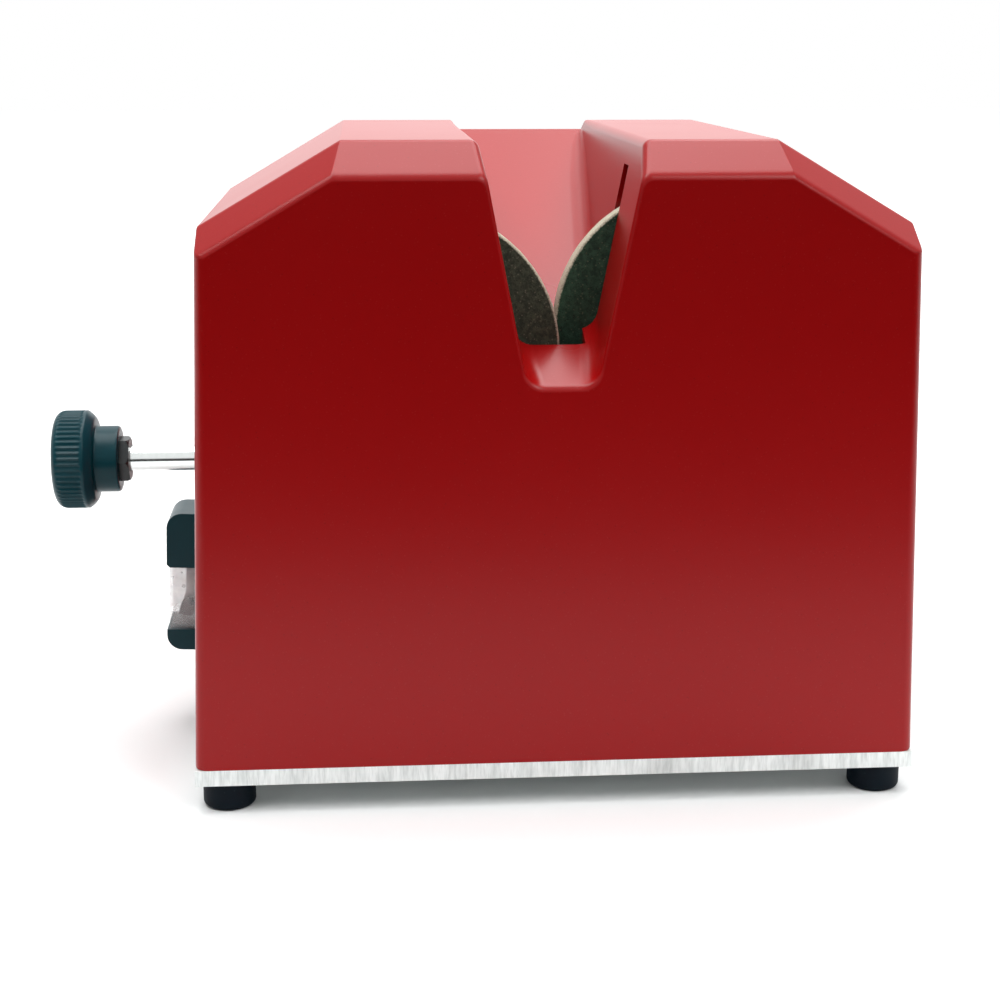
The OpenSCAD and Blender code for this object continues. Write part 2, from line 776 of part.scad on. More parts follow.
// Open belt between two pulleys
module open_belt(a, ra, b, rb) {
    linear_extrude(belt_w, center = true) difference() {
        round_both(a, ra, b, rb, belt_w/2);
        round_both(a, ra, b, rb, -belt_w/2);
    }
}

// Crossed belt: each run steps aside where the two pass each other
module crossed_belt(a, ra, b, rb) {
    l = norm(b - a);
    dir = atan2(b.y - a.y, b.x - a.x);
    turn = acos((ra + rb)/l);
    belt_arc(a, ra, dir + turn, dir + 360 - turn);
    belt_arc(b, rb, dir - 180 + turn, dir + 180 - turn);
    for (s = [-1, 1]) {
        n = [cos(dir + s*turn), sin(dir + s*turn), 0];
        p = [a.x, a.y, 0] + ra*n;
        q = [b.x, b.y, 0] - rb*n;
        run = unit(q - p);
        meet = norm(q - p)*ra/(ra + rb);
        bend = [p, p + 10*run, p + meet*run + [0, 0, s*belt_shift],
                p + (2*meet - 10)*run, q];
        for (i = [0:3]) strip(bend[i], bend[i + 1]);
    }
}

module left_belt() color([0.75, 0.42, 0.12]) belt_plane(left_plane)
    open_belt([0, motor_z], motor_pulley_d/2, [-left_x, left_z], disc_pulley_d/2);
module right_belt() color([0.75, 0.42, 0.12]) belt_plane(right_plane)
    crossed_belt([0, motor_z], motor_pulley_d/2, [right_x, right_z], disc_pulley_d/2);

// ---------------------------------------------------------------- motor

winding_l = 8;
winding_bore = rotor_d/2 + 3;
bolt_circle = motor_r - bell_t - 1.5;
bolt_r = 1.5;
bolt_post_r = bolt_r + 1.5;
winding_r = bolt_circle - bolt_post_r - free_gap;

module at_motor_bolts() {
    for (a = [45:90:315]) translate([bolt_circle*cos(a), 0, motor_z + bolt_circle*sin(a)])
        children();
}

module motor_core() color([0.35, 0.36, 0.38]) difference() {
    bar_y(0, core_y, motor_z, motor_r, core_l);
    bar_y(0, core_y - cut, motor_z, rotor_d/2 + air_gap, core_l + 2*cut);
    at_motor_bolts() bar_y(0, core_y - cut, 0, bolt_r, core_l + 2*cut);
}

module motor_windings() color([0.72, 0.35, 0.14])
    for (y = [core_y - winding_l, rear_bell_y])
        tube_y(0, y, motor_z, winding_r, winding_bore, winding_l);

// An end bell, drawn with its face at y = 0 and its open side at y = bell_l
module bell() {
    difference() {
        union() {
            tube_y(0, 0, 0, motor_r, motor_r - bell_t, bell_l);
            bar_y(0, 0, 0, motor_r - cut, bell_t);
            bar_y(0, 0, 0, bearing_r + housing_t, bell_boss_l);
            for (a = [45:90:315])
                bar_y(bolt_circle*cos(a), 0, bolt_circle*sin(a), bolt_post_r, bell_l);
        }
        bar_y(0, bell_boss_l - bearing_w, 0, bearing_r, bearing_w + cut);
        bar_y(0, -cut, 0, pin_r + 3, bell_l);
        for (a = [45:90:315])
            bar_y(bolt_circle*cos(a), -cut, bolt_circle*sin(a), bolt_r, bell_l + 2*cut);
    }
}

module motor_front_bell() color([0.6, 0.62, 0.64]) translate([0, motor_y, motor_z]) bell();
module motor_rear_bell() color([0.6, 0.62, 0.64])
    translate([0, motor_end_y, motor_z]) rotate([0, 0, 180]) bell();

module motor_bolts() color([0.6, 0.61, 0.63]) at_motor_bolts() {
    bar_y(0, motor_y, 0, bolt_r, motor_end_y - motor_y);
    bar_y(0, motor_y - 1.5, 0, 2.5, 1.5);
    translate([0, motor_end_y, 0]) slab_y(0, 2) hexagon(5);
}

module motor_cradle() color([0.45, 0.47, 0.5]) difference() {
    translate([-motor_r*0.7, core_y + 2, plate_top])
        cube([motor_r*1.4, core_l - 4, motor_z - plate_top - motor_r*0.72]);
    bar_y(0, core_y, motor_z, motor_r, core_l);
}

module motor_strap() color([0.66, 0.67, 0.69]) {
    mid = core_y + core_l/2;
    difference() {
        union() {
            bar_y(0, mid - strap_w/2, motor_z, strap_x, strap_w);
            translate([-strap_x, mid - strap_w/2, plate_top])
                cube([2*strap_x, strap_w, motor_z - plate_top]);
            translate([-strap_x - strap_foot, mid - strap_w/2, plate_top])
                cube([2*(strap_x + strap_foot), strap_w, strap_t]);
        }
        bar_y(0, mid - strap_w, motor_z, motor_r, 2*strap_w);
        translate([-motor_r, mid - strap_w, plate_top - cut])
            cube([2*motor_r, 2*strap_w, motor_z - plate_top + cut]);
        for (sx = [-1, 1]) translate([sx*(strap_x + strap_foot/2), mid, plate_top - cut])
            cylinder(r = thread_r, h = strap_t + 2*cut);
    }
}

module motor_shaft() color([0.72, 0.73, 0.75])
    bar_y(0, boss_y, motor_z, pin_r, motor_end_y - bell_boss_l + bearing_w - boss_y);
module rotor_core() color([0.4, 0.41, 0.43]) tube_y(0, core_y, motor_z, rotor_d/2, pin_r, core_l);

module rotor_fan() color([0.7, 0.71, 0.72]) {
    slab_y(rear_bell_y, 4) translate([0, motor_z]) difference() {
        union() {
            circle(10);
            for (i = [0:blade_count - 1]) rotate(360*i/blade_count)
                translate([9, -0.75]) square([rotor_d/2 - 9, 1.5]);
        }
        circle(pin_r);
    }
}

module motor_pulley() color([0.7, 0.71, 0.72]) {
    start = left_plane - pulley_w/2;
    end = right_plane + pulley_w/2;
    difference() {
        bar_y(0, start, motor_z, motor_pulley_d/2 + pulley_rim, end - start);
        pulley_groove(0, left_plane, motor_z, motor_pulley_d);
        pulley_groove(0, right_plane, motor_z, motor_pulley_d);
        bar_y(0, start - cut, motor_z, pin_r, end - start + 2*cut);
    }
}

// ---------------------------------------------------------------- adjusting screw

bush_r = 7;
bush_l = 14;

module screw_bracket() color([0.62, 0.64, 0.66]) difference() {
    union() {
        translate([-post_x - post_t/2, screw_y - post_w/2, plate_top])
            cube([post_t, post_w, screw_z - plate_top]);
        bar_x(-post_x - post_t/2, screw_y, screw_z, post_w/2, post_t);
        translate([-post_x, screw_y - post_w/2, plate_top])
            cube([post_foot, post_w, bracket_foot_t]);
    }
    bar_x(-post_x - post_t, screw_y, screw_z, bush_r, 2*post_t);
    for (y = [screw_y - post_w/2 + 6, screw_y + post_w/2 - 6])
        translate([-post_x + post_foot - 8, y, plate_top - cut])
            cylinder(r = thread_r, h = screw_reach + cut);
}

module threaded_bush() color([0.78, 0.62, 0.3]) difference() {
    union() {
        bar_x(-post_x - post_t/2 - 2, screw_y, screw_z, bush_r + 3, 2);
        bar_x(-post_x - post_t/2 - 2, screw_y, screw_z, bush_r, bush_l);
    }
    bar_x(-post_x - post_t - bush_l, screw_y, screw_z, screw_r + screw_fit, 3*bush_l);
}

module adjusting_rod() color([0.85, 0.86, 0.88]) {
    start = head_x + 6;
    bar_x(start, screw_y, screw_z, screw_r, shoulder_end - free_gap - start);
    bar_x(shoulder_end - cut, screw_y, screw_z, tip_r, rod_end - shoulder_end + cut);
}

// Domed pad that doesn't turn, between the screw's end and the arm
module thrust_pad() color([0.9, 0.89, 0.84])
    translate([shoulder_end, screw_y, screw_z]) rotate([0, 90, 0]) rotate_extrude() difference() {
        intersection() {
            square([pad_r, pad_l]);
            translate([0, pad_l - pad_dome]) circle(pad_dome, $fn = 96);
        }
        translate([0, -cut]) square([tip_r + screw_fit, rod_end - shoulder_end + free_gap + cut]);
    }

module knob() color([0.07, 0.09, 0.1]) difference() {
    translate([head_x, screw_y, screw_z]) rotate([0, 90, 0]) rotate_extrude($fn = 96)
        polygon(concat([[0, 0]], arc([knob_d/2 - 4, 4], 4, -90, 0), [
            [knob_d/2, knob_l - 3], [knob_d/2 - 1, knob_l - 2], [neck_d/2 + 1.2, knob_l],
            [neck_d/2, knob_l], [neck_d/2, knob_l + neck_l - 0.6],
            [neck_d/2 - 0.6, knob_l + neck_l], [0, knob_l + neck_l]]));
    bar_x(head_x + 6, screw_y, screw_z, screw_r, knob_l + neck_l);
}

module jam_nut() color([0.07, 0.09, 0.1]) difference() {
    intersection() {
        translate([nut_x + nut_t/2, screw_y, screw_z]) along_x(nut_t) hexagon(nut_af);
        translate([nut_x, screw_y, screw_z]) rotate([0, 90, 0])
            cylinder(r1 = nut_af/2 + 3, r2 = nut_af/2 + 0.2, h = nut_t);
    }
    bar_x(nut_x - cut, screw_y, screw_z, screw_r, nut_t + 2*cut);
}

// ---------------------------------------------------------------- return spring

stud_r = 3;
stud_sunk = 3;
coil_r = spring_d/2 - spring_wire/2;
coil_low = spring_low;
coil_high = spring_high;
coil_steps = 12;
coil_sides = 6;

// Centre of the spring's wire after a share s of its length
function coil_point(s) = let (a = 360*spring_turns*s)
    [coil_r*cos(a), coil_r*sin(a),
     coil_low + spring_wire/2 + (coil_high - coil_low - spring_wire)*s];

module return_spring() color([0.6, 0.61, 0.63]) {
    n = spring_turns*coil_steps;
    rings = [for (i = [0:n]) let (c = coil_point(i/n), a = 360*spring_turns*i/n)
        for (k = [0:coil_sides - 1]) let (b = 360*k/coil_sides)
            c + spring_wire/2*[cos(a)*cos(b), sin(a)*cos(b), sin(b)]];
    m = coil_sides;
    faces = concat([[for (k = [0:m - 1]) k]],
        [for (i = [0:n - 1], k = [0:m - 1])
            [i*m + k, (i + 1)*m + k, (i + 1)*m + (k + 1)%m, i*m + (k + 1)%m]],
        [[for (k = [m - 1:-1:0]) n*m + k]]);
    translate([-spring_x, screw_y, 0]) polyhedron(rings, faces);
}

module spring_post() color([0.6, 0.61, 0.63]) translate([-spring_x, screw_y, plate_top - stud_sunk])
    rotate_extrude() polygon([[0, 0], [stud_r, 0], [stud_r, stud_sunk], [stud_r + 2, stud_sunk],
        [stud_r + 2, spring_low - plate_top + stud_sunk], [coil_r - spring_wire/2 - 0.3,
        spring_low - plate_top + stud_sunk], [coil_r - spring_wire/2 - 0.3,
        spring_low - plate_top + stud_sunk + 5], [0, spring_low - plate_top + stud_sunk + 5]]);

// ---------------------------------------------------------------- switch

barrel_w = 16;
barrel_h = 20;
barrel_l = body_w/2 - 88;            // keeps clear of the screw bracket

// A place behind the switch's body, out past it and above its middle
function at_terminal(out, up) = let (x = barrel_l + out, z = window_z + up)
    [-side_x(switch_z) + x*cos(side_draft) + z*sin(side_draft), switch_y,
     switch_z - x*sin(side_draft) + z*cos(side_draft)];

// The switch stands square to the leaning left wall; here -X is outwards
module at_switch() {
    translate([-side_x(switch_z), switch_y, switch_z]) rotate([0, side_draft, 0]) children();
}

module switch_body() color([0.1, 0.11, 0.12]) at_switch() difference() {
    translate([0, -barrel_w/2, window_z - barrel_h/2]) cube([barrel_l, barrel_w, barrel_h]);
    translate([-cut, -rocker_w/2 - 1, window_z - barrel_h/2 + 1.5])
        cube([6, rocker_w + 2, barrel_h - 3]);
}

module switch_terminals() color([0.78, 0.62, 0.3]) at_switch()
    for (z = [-6, 0, 6]) translate([barrel_l, -3, window_z + z - 0.4]) cube([8, 6, 0.8]);

// Outline of a guard between two heights, rounded at its outer corner
module guard_side(low, high, round_high) {
    c = guard_r;
    polygon(round_high
        ? concat([[0, low], [0, high]], arc([-switch_out + c, high - c], c, 90, 180),
                 [[-switch_out, low + 1], [-switch_out + 1, low]])
        : concat([[0, high], [0, low]], arc([-switch_out + c, low + c], c, 270, 180),
                 [[-switch_out, high], [-switch_out + 0.8, high]]));
}

module switch_guard() color([0.07, 0.1, 0.11]) at_switch() difference() {
    union() {
        along_y(switch_w) guard_side(window_top, switch_h/2, true);
        along_y(switch_w) guard_side(-switch_h/2, window_low, false);
        translate([-base_out, -switch_w/2, -switch_h/2]) cube([base_out, switch_w, switch_h]);
        for (sy = [-1, 1])
            translate([-pivot_out - 3, sy*(rocker_w/2 + ear_gap + ear_t/2) - ear_t/2, window_z - 3])
                cube([pivot_out + 3, ear_t, 6]);
    }
    translate([-pivot_out, 0, window_z]) along_y(switch_w) circle(pivot_r + 0.05);
    translate([-base_out - cut, -rocker_w/2 - ear_gap, window_low + 1.5])
        cube([base_out + 2*cut, rocker_w + 2*ear_gap, window_h - 3]);
}

// Clear cover over the rocker
module switch_boot() color([0.85, 0.9, 0.92, 0.4]) at_switch() {
    reach = switch_out - 0.8 - base_out;
    translate([-base_out - reach, -switch_w/2 + 1, window_low]) difference() {
        cube([reach, switch_w - 2, window_h]);
        translate([boot_t, boot_t, boot_t])
            cube([reach, switch_w - 2 - 2*boot_t, window_h - 2*boot_t]);
    }
}

module switch_rocker() color([0.3, 0.34, 0.36]) at_switch()
    translate([-pivot_out, 0, window_z]) rotate([0, rocker_tilt, 0]) {
        along_y(rocker_w) polygon([[2, -3], [-1, -rocker_half], [-rocker_rise, -rocker_half],
            [-rocker_rise + 1.3, 0], [-rocker_rise, rocker_half], [-1, rocker_half], [2, 3]]);
        along_y(rocker_w + 2*(ear_gap + ear_t) - 1) circle(pivot_r);
    }

// ---------------------------------------------------------------- mains inlet

inlet_x = body_w/2 - inlet_side;
inlet_neck_w = socket_w + 4;
inlet_neck_h = socket_h + 4;
inlet_hole_x = inlet_w/2 - 5;
inlet_screw_r = 1.5;
inlet_flange_t = 3;

module inlet_body() color([0.08, 0.08, 0.09]) difference() {
    translate([-inlet_x, back_y, inlet_z]) {
        translate([-inlet_w/2, 0, -inlet_h/2]) cube([inlet_w, inlet_flange_t, inlet_h]);
        translate([-inlet_neck_w/2, inlet_flange_t - socket_d - 3, -inlet_neck_h/2])
            cube([inlet_neck_w, socket_d + 3 - cut, inlet_neck_h]);
    }
    translate([-inlet_x, back_y + inlet_flange_t + cut, inlet_z]) rotate([90, 0, 0])
        linear_extrude(socket_d + cut) polygon([[-socket_w/2, -socket_h/2],
            [socket_w/2, -socket_h/2], [socket_w/2, socket_h/2 - 4], [socket_w/2 - 5, socket_h/2],
            [-socket_w/2 + 5, socket_h/2], [-socket_w/2, socket_h/2 - 4]]);
    for (sx = [-1, 1])
        bar_y(-inlet_x + sx*inlet_hole_x, back_y - cut, inlet_z, inlet_screw_r,
            inlet_flange_t + 2*cut);
    inlet_pin_shapes();
}

// Three blades: two level with each other and the earth blade above them
module inlet_pin_shapes() {
    start = back_y + inlet_flange_t - socket_d - 3 - 8;
    end = back_y + inlet_flange_t - 4.6;
    for (p = [[-7, -3], [0, 3], [7, -3]])
        translate([-inlet_x + p.x - 1, start, inlet_z + p.y - 2]) cube([2, end - start, 4]);
}

module inlet_pins() color([0.8, 0.78, 0.7]) inlet_pin_shapes();

module inlet_screws() color([0.6, 0.61, 0.63])
    for (sx = [-1, 1]) {
        bar_y(-inlet_x + sx*inlet_hole_x, back_y + inlet_flange_t, inlet_z, 2.8, 1.5);
        bar_y(-inlet_x + sx*inlet_hole_x, back_y - wall_t - 2, inlet_z, inlet_screw_r,
            wall_t + 2 + inlet_flange_t);
    }

// ---------------------------------------------------------------- electrical

clip_t = 2;
capacitor_y = front_y + 30;
capacitor_z = plate_top + 2 + capacitor_d/2;
capacitor_x = side_x(capacitor_z + capacitor_d/2, wall_t) - capacitor_d/2 - clip_t - 2*free_gap;
clip_w = 12;

module run_capacitor() color([0.85, 0.86, 0.87]) {
    bar_y(capacitor_x, capacitor_y, capacitor_z, capacitor_d/2, capacitor_l);
    for (sx = [-1, 1]) translate([capacitor_x + sx*6 - 0.4, capacitor_y + capacitor_l,
        capacitor_z - 3]) cube([0.8, 8, 6]);
}

module capacitor_clip() color([0.66, 0.67, 0.69]) difference() {
    mid = capacitor_y + capacitor_l/2;
    union() {
        bar_y(capacitor_x, mid - clip_w/2, capacitor_z, capacitor_d/2 + clip_t, clip_w);
        translate([capacitor_x - capacitor_d/2 - clip_t, mid - clip_w/2, plate_top])
            cube([capacitor_d + 2*clip_t, clip_w, capacitor_d/2]);
    }
    bar_y(capacitor_x, mid - clip_w, capacitor_z, capacitor_d/2, 2*clip_w);
    translate([capacitor_x - capacitor_d/2, mid - clip_w, capacitor_z + capacitor_d/4])
        cube([capacitor_d, 2*clip_w, capacitor_d]);
}

block_l = 30;
block_y = back_y - 26 - block_l;      // clear of the cover's boss behind it
block_w = 18;
block_x = -strap_x - strap_foot - 8 - block_w;
block_h = 14;

module terminal_block() color([0.88, 0.87, 0.82]) difference() {
    translate([block_x, block_y, plate_top]) cube([block_w, block_l, block_h]);
    for (y = [5:10:25]) {
        translate([block_x + block_w/2, block_y + y, plate_top + block_h/2])
            cylinder(r = 2, h = block_h);
        bar_x(block_x - cut, block_y + y, plate_top + block_h/3, wire_d/2, block_w + 2*cut);
    }
}

// A bent wire through a list of points
module wire(points) {
    for (i = [0:len(points) - 2]) rod(points[i], points[i + 1], wire_d/2);
    for (i = [1:len(points) - 2]) translate(points[i]) joint(wire_d/2);
}

module wiring() color([0.15, 0.25, 0.45]) {
    z = plate_top + block_h/3;
    inner = block_x + block_w;
    inlet_end = back_y + inlet_flange_t - socket_d - 3 - 8;
    switch_end = -side_x(switch_z) + barrel_l + 8;
    high = switch_z + window_z;
    // switch to terminal block
    for (i = [0, 1]) wire([at_terminal(8, 6 - 12*i), at_terminal(11, 6 - 12*i),
        [switch_end + 6 + 3*i, switch_y + 8, high + 6 - 12*i],
        [inner + 4 + 3*i, block_y + 5 + 10*i, z + 12],
        [inner + 4 + 3*i, block_y + 5 + 10*i, z], [inner, block_y + 5 + 10*i, z]]);
    // inlet to terminal block
    wire([[-inlet_x, inlet_end, inlet_z + 3], [-inlet_x, inlet_end - 5, inlet_z + 3],
        [inner + 10, block_y + 25, z + 8], [inner + 10, block_y + 25, z],
        [inner, block_y + 25, z]]);
    // terminal block to motor
    wire([[block_x, block_y + 5, z], [block_x - 5, block_y + 5, z],
        [block_x - 5, block_y - 8, z], [-motor_r - 6, motor_y - 10, z],
        [-motor_r + 8, motor_y - 6, z + 8], [-motor_r + 10, motor_y - 6, motor_z - 14],
        [-motor_r + 10, motor_y, motor_z - 14]]);
    // motor to capacitor
    for (i = [-1, 1]) let (y = capacitor_y + capacitor_l + 5 - 2*i, z = capacitor_z - 10 + 2*i)
        wire([[capacitor_x + 6*i, y, capacitor_z - 3], [capacitor_x + 6*i, y, z],
            [capacitor_x - capacitor_d/2 - 9, y, z],
            [motor_r - 8 + 3*i, motor_y - 6 - 3*i, motor_z - 12 + 3*i],
            [motor_r - 8 + 3*i, motor_y, motor_z - 12 + 3*i]]);
}

// ---------------------------------------------------------------- nodes

base_plate();
feet();
foot_screws();
cover();
cover_screws();
bearing_bracket();
base_screws();
screw_bracket();
threaded_bush();
motor_core();
motor_windings();
motor_front_bell();
motor_rear_bell();
motor_bolts();
motor_cradle();
motor_strap();
motor_bearing_rings();
motor_bearing_balls();
right_bearing_rings();
right_bearing_balls();
arm_retaining_ring();
return_spring();
spring_post();
run_capacitor();
capacitor_clip();
terminal_block();
wiring();
inlet_body();
inlet_pins();
inlet_screws();
switch_body();
switch_guard();
switch_boot();
switch_terminals();
right_belt();
motor_shaft();
rotor_core();
rotor_fan();
motor_pulley();
motor_inner_rings();
right_spindle();
right_disc();
right_disc_nut();
right_pulley();
right_inner_rings();
swing_arm();
left_bearing_rings();
left_bearing_balls();
left_belt();
left_spindle();
left_disc();
left_disc_nut();
left_pulley();
left_inner_rings();
thrust_pad();
adjusting_rod();
knob();
jam_nut();
switch_rocker();
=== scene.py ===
"""The looks of the electric knife sharpener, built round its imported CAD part."""

import json
import math

import bmesh
import bpy
from mathutils import Matrix, Vector


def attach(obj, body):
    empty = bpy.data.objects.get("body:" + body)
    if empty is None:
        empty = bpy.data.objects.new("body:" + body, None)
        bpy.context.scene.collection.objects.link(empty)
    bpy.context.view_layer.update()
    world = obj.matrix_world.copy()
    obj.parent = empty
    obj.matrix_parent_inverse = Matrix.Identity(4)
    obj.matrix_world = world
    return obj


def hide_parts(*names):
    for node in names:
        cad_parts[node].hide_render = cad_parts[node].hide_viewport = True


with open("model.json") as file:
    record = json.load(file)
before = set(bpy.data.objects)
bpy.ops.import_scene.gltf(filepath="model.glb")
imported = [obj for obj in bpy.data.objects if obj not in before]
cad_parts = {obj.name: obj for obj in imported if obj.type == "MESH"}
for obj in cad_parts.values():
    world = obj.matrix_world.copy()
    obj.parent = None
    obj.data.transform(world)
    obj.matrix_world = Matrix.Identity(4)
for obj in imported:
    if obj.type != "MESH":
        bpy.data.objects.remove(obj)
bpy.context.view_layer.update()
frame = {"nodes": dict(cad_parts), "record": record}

MM = 0.001

# Sizes in millimetres, as in the part's source but for what is noted
BODY_D = 164.0
FLOOR_Z = 14.0              # underside of the cover
TOP_Z = 199.49              # a hair under the part's top
TOP_W = 126.0
BODY_W = 219.96             # a hair narrower than the base plate
SIDE_LEAN = math.radians(2.0)
SHOULDER = math.radians(30.4)
BAND_D = 12.2
BAND_FALL = 9.7
SHOULDER_FALL = 7.0
WALL = 3.5
TROUGH_W = 47.8
TROUGH_LEAN = math.radians(11.15)
TROUGH_Z = 129.5
RAMP = math.radians(23.1)
TROUGH_WALL = 3.0
FRONT_Y = -BODY_D / 2
SLOT_TOP = 191.0
SLOT_LOW = 118.5
SLOT_FAR = 27.5
SLOT_CROSS = 9.0
LEFT_SLOT = (21.5, 30.5)
RIGHT_SLOT = (29.5, 38.5)
LEFT_DISC = (-40.5, FRONT_Y + 22.5, 137.0)
RIGHT_DISC = (42.5, FRONT_Y + 30.5, 142.5)
DISC_R = 42.0
DISC_T = 7.0
DISC_BORE = 8.0
SCREW_Y = FRONT_Y + 56.0
SCREW_Z = 98.0
KNOB_X = -154.66            # outer end of the knob
KNOB_L = 12.6
NECK_L = 7.5
KNOB_R = 15.5
NECK_R = 10.5
MOTOR_Z = 62.0              # height of the motor's axis

# Roundings of the cover
FOOT_R = 0.6                # its lower edge
SIDE_R = 1.2                # side to shoulder
SHOULDER_R = 1.5            # shoulder to top
LIP_R = 3.0                 # top to trough
TROUGH_R = 6.5              # trough's wall to its floor
UPRIGHT_R = 3.5             # front and back edges of the sides
BAND_R = 1.6                # front and back edges of the top
MOUTH_R = 1.3               # ends of the trough

# Openings of the cover, as corners of boxes
SWITCH_HOLE = ((-114, -10, 36), (-98, 6, 56))
INLET_HOLE = ((-76, 74, 32), (-48, 86, 52))
ROD_HOLE_R = 6.0

# Places of the screws
PLATE_LOW = 9.0             # underside of the base plate
COVER_SCREW = (88, 70)
FOOT_SCREW = (100.5, 72.5, 2.0)
BASE_SCREWS = [(-22, -24), (51.5, -24), (-61, -38), (-61, -14), (-53, 41), (53, 41)]
INLET_X, INLET_Y, INLET_Z = -62, 86.5, 42
INLET_SCREW = 20            # from the inlet's middle


# ---------------------------------------------------------------- camera

def place_camera():
    """The photograph's view: pitch, heading and place came from a fit to the body's corners."""
    pitch, heading, roll = 0.246, 0.078, 0.002
    forward = Vector((math.sin(heading) * math.cos(pitch),
                      math.cos(heading) * math.cos(pitch), -math.sin(pitch)))
    level = Vector((math.cos(heading), -math.sin(heading), 0))
    above = level.cross(forward)
    right = math.cos(roll) * level + math.sin(roll) * above
    up = math.cos(roll) * above - math.sin(roll) * level
    data = bpy.data.cameras.new("camera")
    data.lens, data.sensor_width = 64.8, 36.0
    data.shift_y = -0.003
    data.clip_start, data.clip_end = 0.05, 20
    camera = bpy.data.objects.new("camera", data)
    turn = Matrix((right, up, -forward)).transposed().to_4x4()
    camera.matrix_world = Matrix.Translation((-0.05807, -0.59135, 0.22564)) @ turn
    bpy.context.collection.objects.link(camera)
    bpy.context.scene.camera = camera


# ---------------------------------------------------------------- shader maths

class Value:
    """A number socket that takes part in sums: an expression on it adds Math nodes."""

    def __init__(self, nodes, socket):
        self.nodes, self.socket = nodes, socket

    def _with(self, operation, a, b=None):
        values = [a] if b is None else [a, b]
        return self.nodes.add("ShaderNodeMath", dict(enumerate(values)), operation=operation)

    def __add__(self, other): return self._with("ADD", self, other)
    def __radd__(self, other): return self._with("ADD", other, self)
    def __sub__(self, other): return self._with("SUBTRACT", self, other)
    def __rsub__(self, other): return self._with("SUBTRACT", other, self)
    def __mul__(self, other): return self._with("MULTIPLY", self, other)
    def __rmul__(self, other): return self._with("MULTIPLY", other, self)
    def high(self, other): return self._with("MAXIMUM", self, other)
    def root(self): return self._with("SQRT", self)
    def wave(self): return self._with("SINE", self)

    def step(self, low, high):
        """0 below low, 1 above high, smooth between."""
        return self.nodes.add("ShaderNodeMapRange", {0: self, 1: low, 2: high},
                              interpolation_type="SMOOTHSTEP")


class Nodes:
    """A node tree, and the one way in which its nodes are made."""

    def __init__(self, tree):
        self.tree = tree

    def add(self, kind, values=None, output=0, **settings):
        """Makes a node: its settings first, then the values or links of its sockets."""
        node = self.tree.nodes.new(kind)
        for key, value in settings.items():
            setattr(node, key, value)
        for key, value in (values or {}).items():
            self.put(node.inputs[key], value)
        return Value(self, node.outputs[output]) if node.outputs else None

    def put(self, socket, value):
        if isinstance(value, Value):
            value = value.socket
        if isinstance(value, bpy.types.NodeSocket):
            self.tree.links.new(value, socket)
        elif isinstance(value, tuple) and len(value) == 3 and socket.type == "RGBA":
            socket.default_value = (*value, 1)
        else:
            socket.default_value = value

    def rays(self):
        """1 or 0: whether the camera, a mirror or something clear looks here."""
        return [self.add("ShaderNodeLightPath", output=f"Is {kind} Ray")
                for kind in ("Camera", "Glossy", "Transmission")]


class Paint(Nodes):
    """One material: its nodes, and the few patterns that the finishes share."""

    def __init__(self, name):
        self.material = bpy.data.materials.new(name)
        self.material.use_nodes = True
        super().__init__(self.material.node_tree)
        self.shader = self.tree.nodes["Principled BSDF"]
        self.place = self.add("ShaderNodeTexCoord", output="Object").socket

    def noise(self, scale, detail=2.0, rough=0.5, stretch=None, turn=(0, 0, 0)):
        """Even noise, or stretched along an axis where its scale is small."""
        place = self.place
        if stretch:
            place = self.add("ShaderNodeMapping", {"Vector": place, "Scale": stretch,
                                                   "Rotation": turn})
        return self.add("ShaderNodeTexNoise", {"Vector": place, "Scale": scale,
                                               "Detail": detail, "Roughness": rough})

    def part(self, axis):
        """One coordinate of the place, in metres."""
        return self.add("ShaderNodeSeparateXYZ", {0: self.place}, output=axis)

    def radius(self, axes, centre):
        """Distance from an axis, in metres."""
        a, b = (self.part(axis) - c for axis, c in zip(axes, centre))
        return (a * a + b * b).root()

    def specks(self, scale, size):
        """1 in small spots, 0 between them."""
        cell = self.add("ShaderNodeTexVoronoi", {"Vector": self.place, "Scale": scale})
        return 1 - cell.step(size * 0.6, size)

    def mix(self, factor, a, b):
        """Colour a where the factor is 0, and b where it is 1."""
        return self.add("ShaderNodeMix", {0: factor, 6: a, 7: b}, output=2,
                        data_type="RGBA").socket

    def bump(self, height, strength, distance=0.0005):
        return self.add("ShaderNodeBump", {"Height": height, "Strength": strength,
                                           "Distance": distance}).socket

    def finish(self, **sockets):
        for key, value in sockets.items():
            self.put(self.shader.inputs[key.replace("_", " ")], value)
        return self.material


# ---------------------------------------------------------------- finishes

def red_plastic():
    p = Paint("red_plastic")
    cloud = p.noise(9, 3)
    # Painted light: the red is lighter towards the bottom, as if the floor's light falls on it; a
    # random cloud of tone is mixed in with it
    low = 1 - p.part(2).step(0.01, 0.19)
    color = p.mix(low * 0.6 + cloud * 0.4, (0.285, 0.0010, 0.0015), (0.335, 0.0025, 0.0035))
    color = p.mix(p.specks(620, 0.16) * 0.18, color, (0.42, 0.06, 0.055))
    color = p.mix(p.specks(410, 0.10) * 0.35, color, (0.05, 0.001, 0.002))
    grain = p.noise(900, 2) + p.noise(2600, 1) * 0.5
    return p.finish(Base_Color=color, Roughness=0.25 + cloud * 0.08, Specular_IOR_Level=0.24,
                    Normal=p.bump(grain, 0.05, 0.0002))


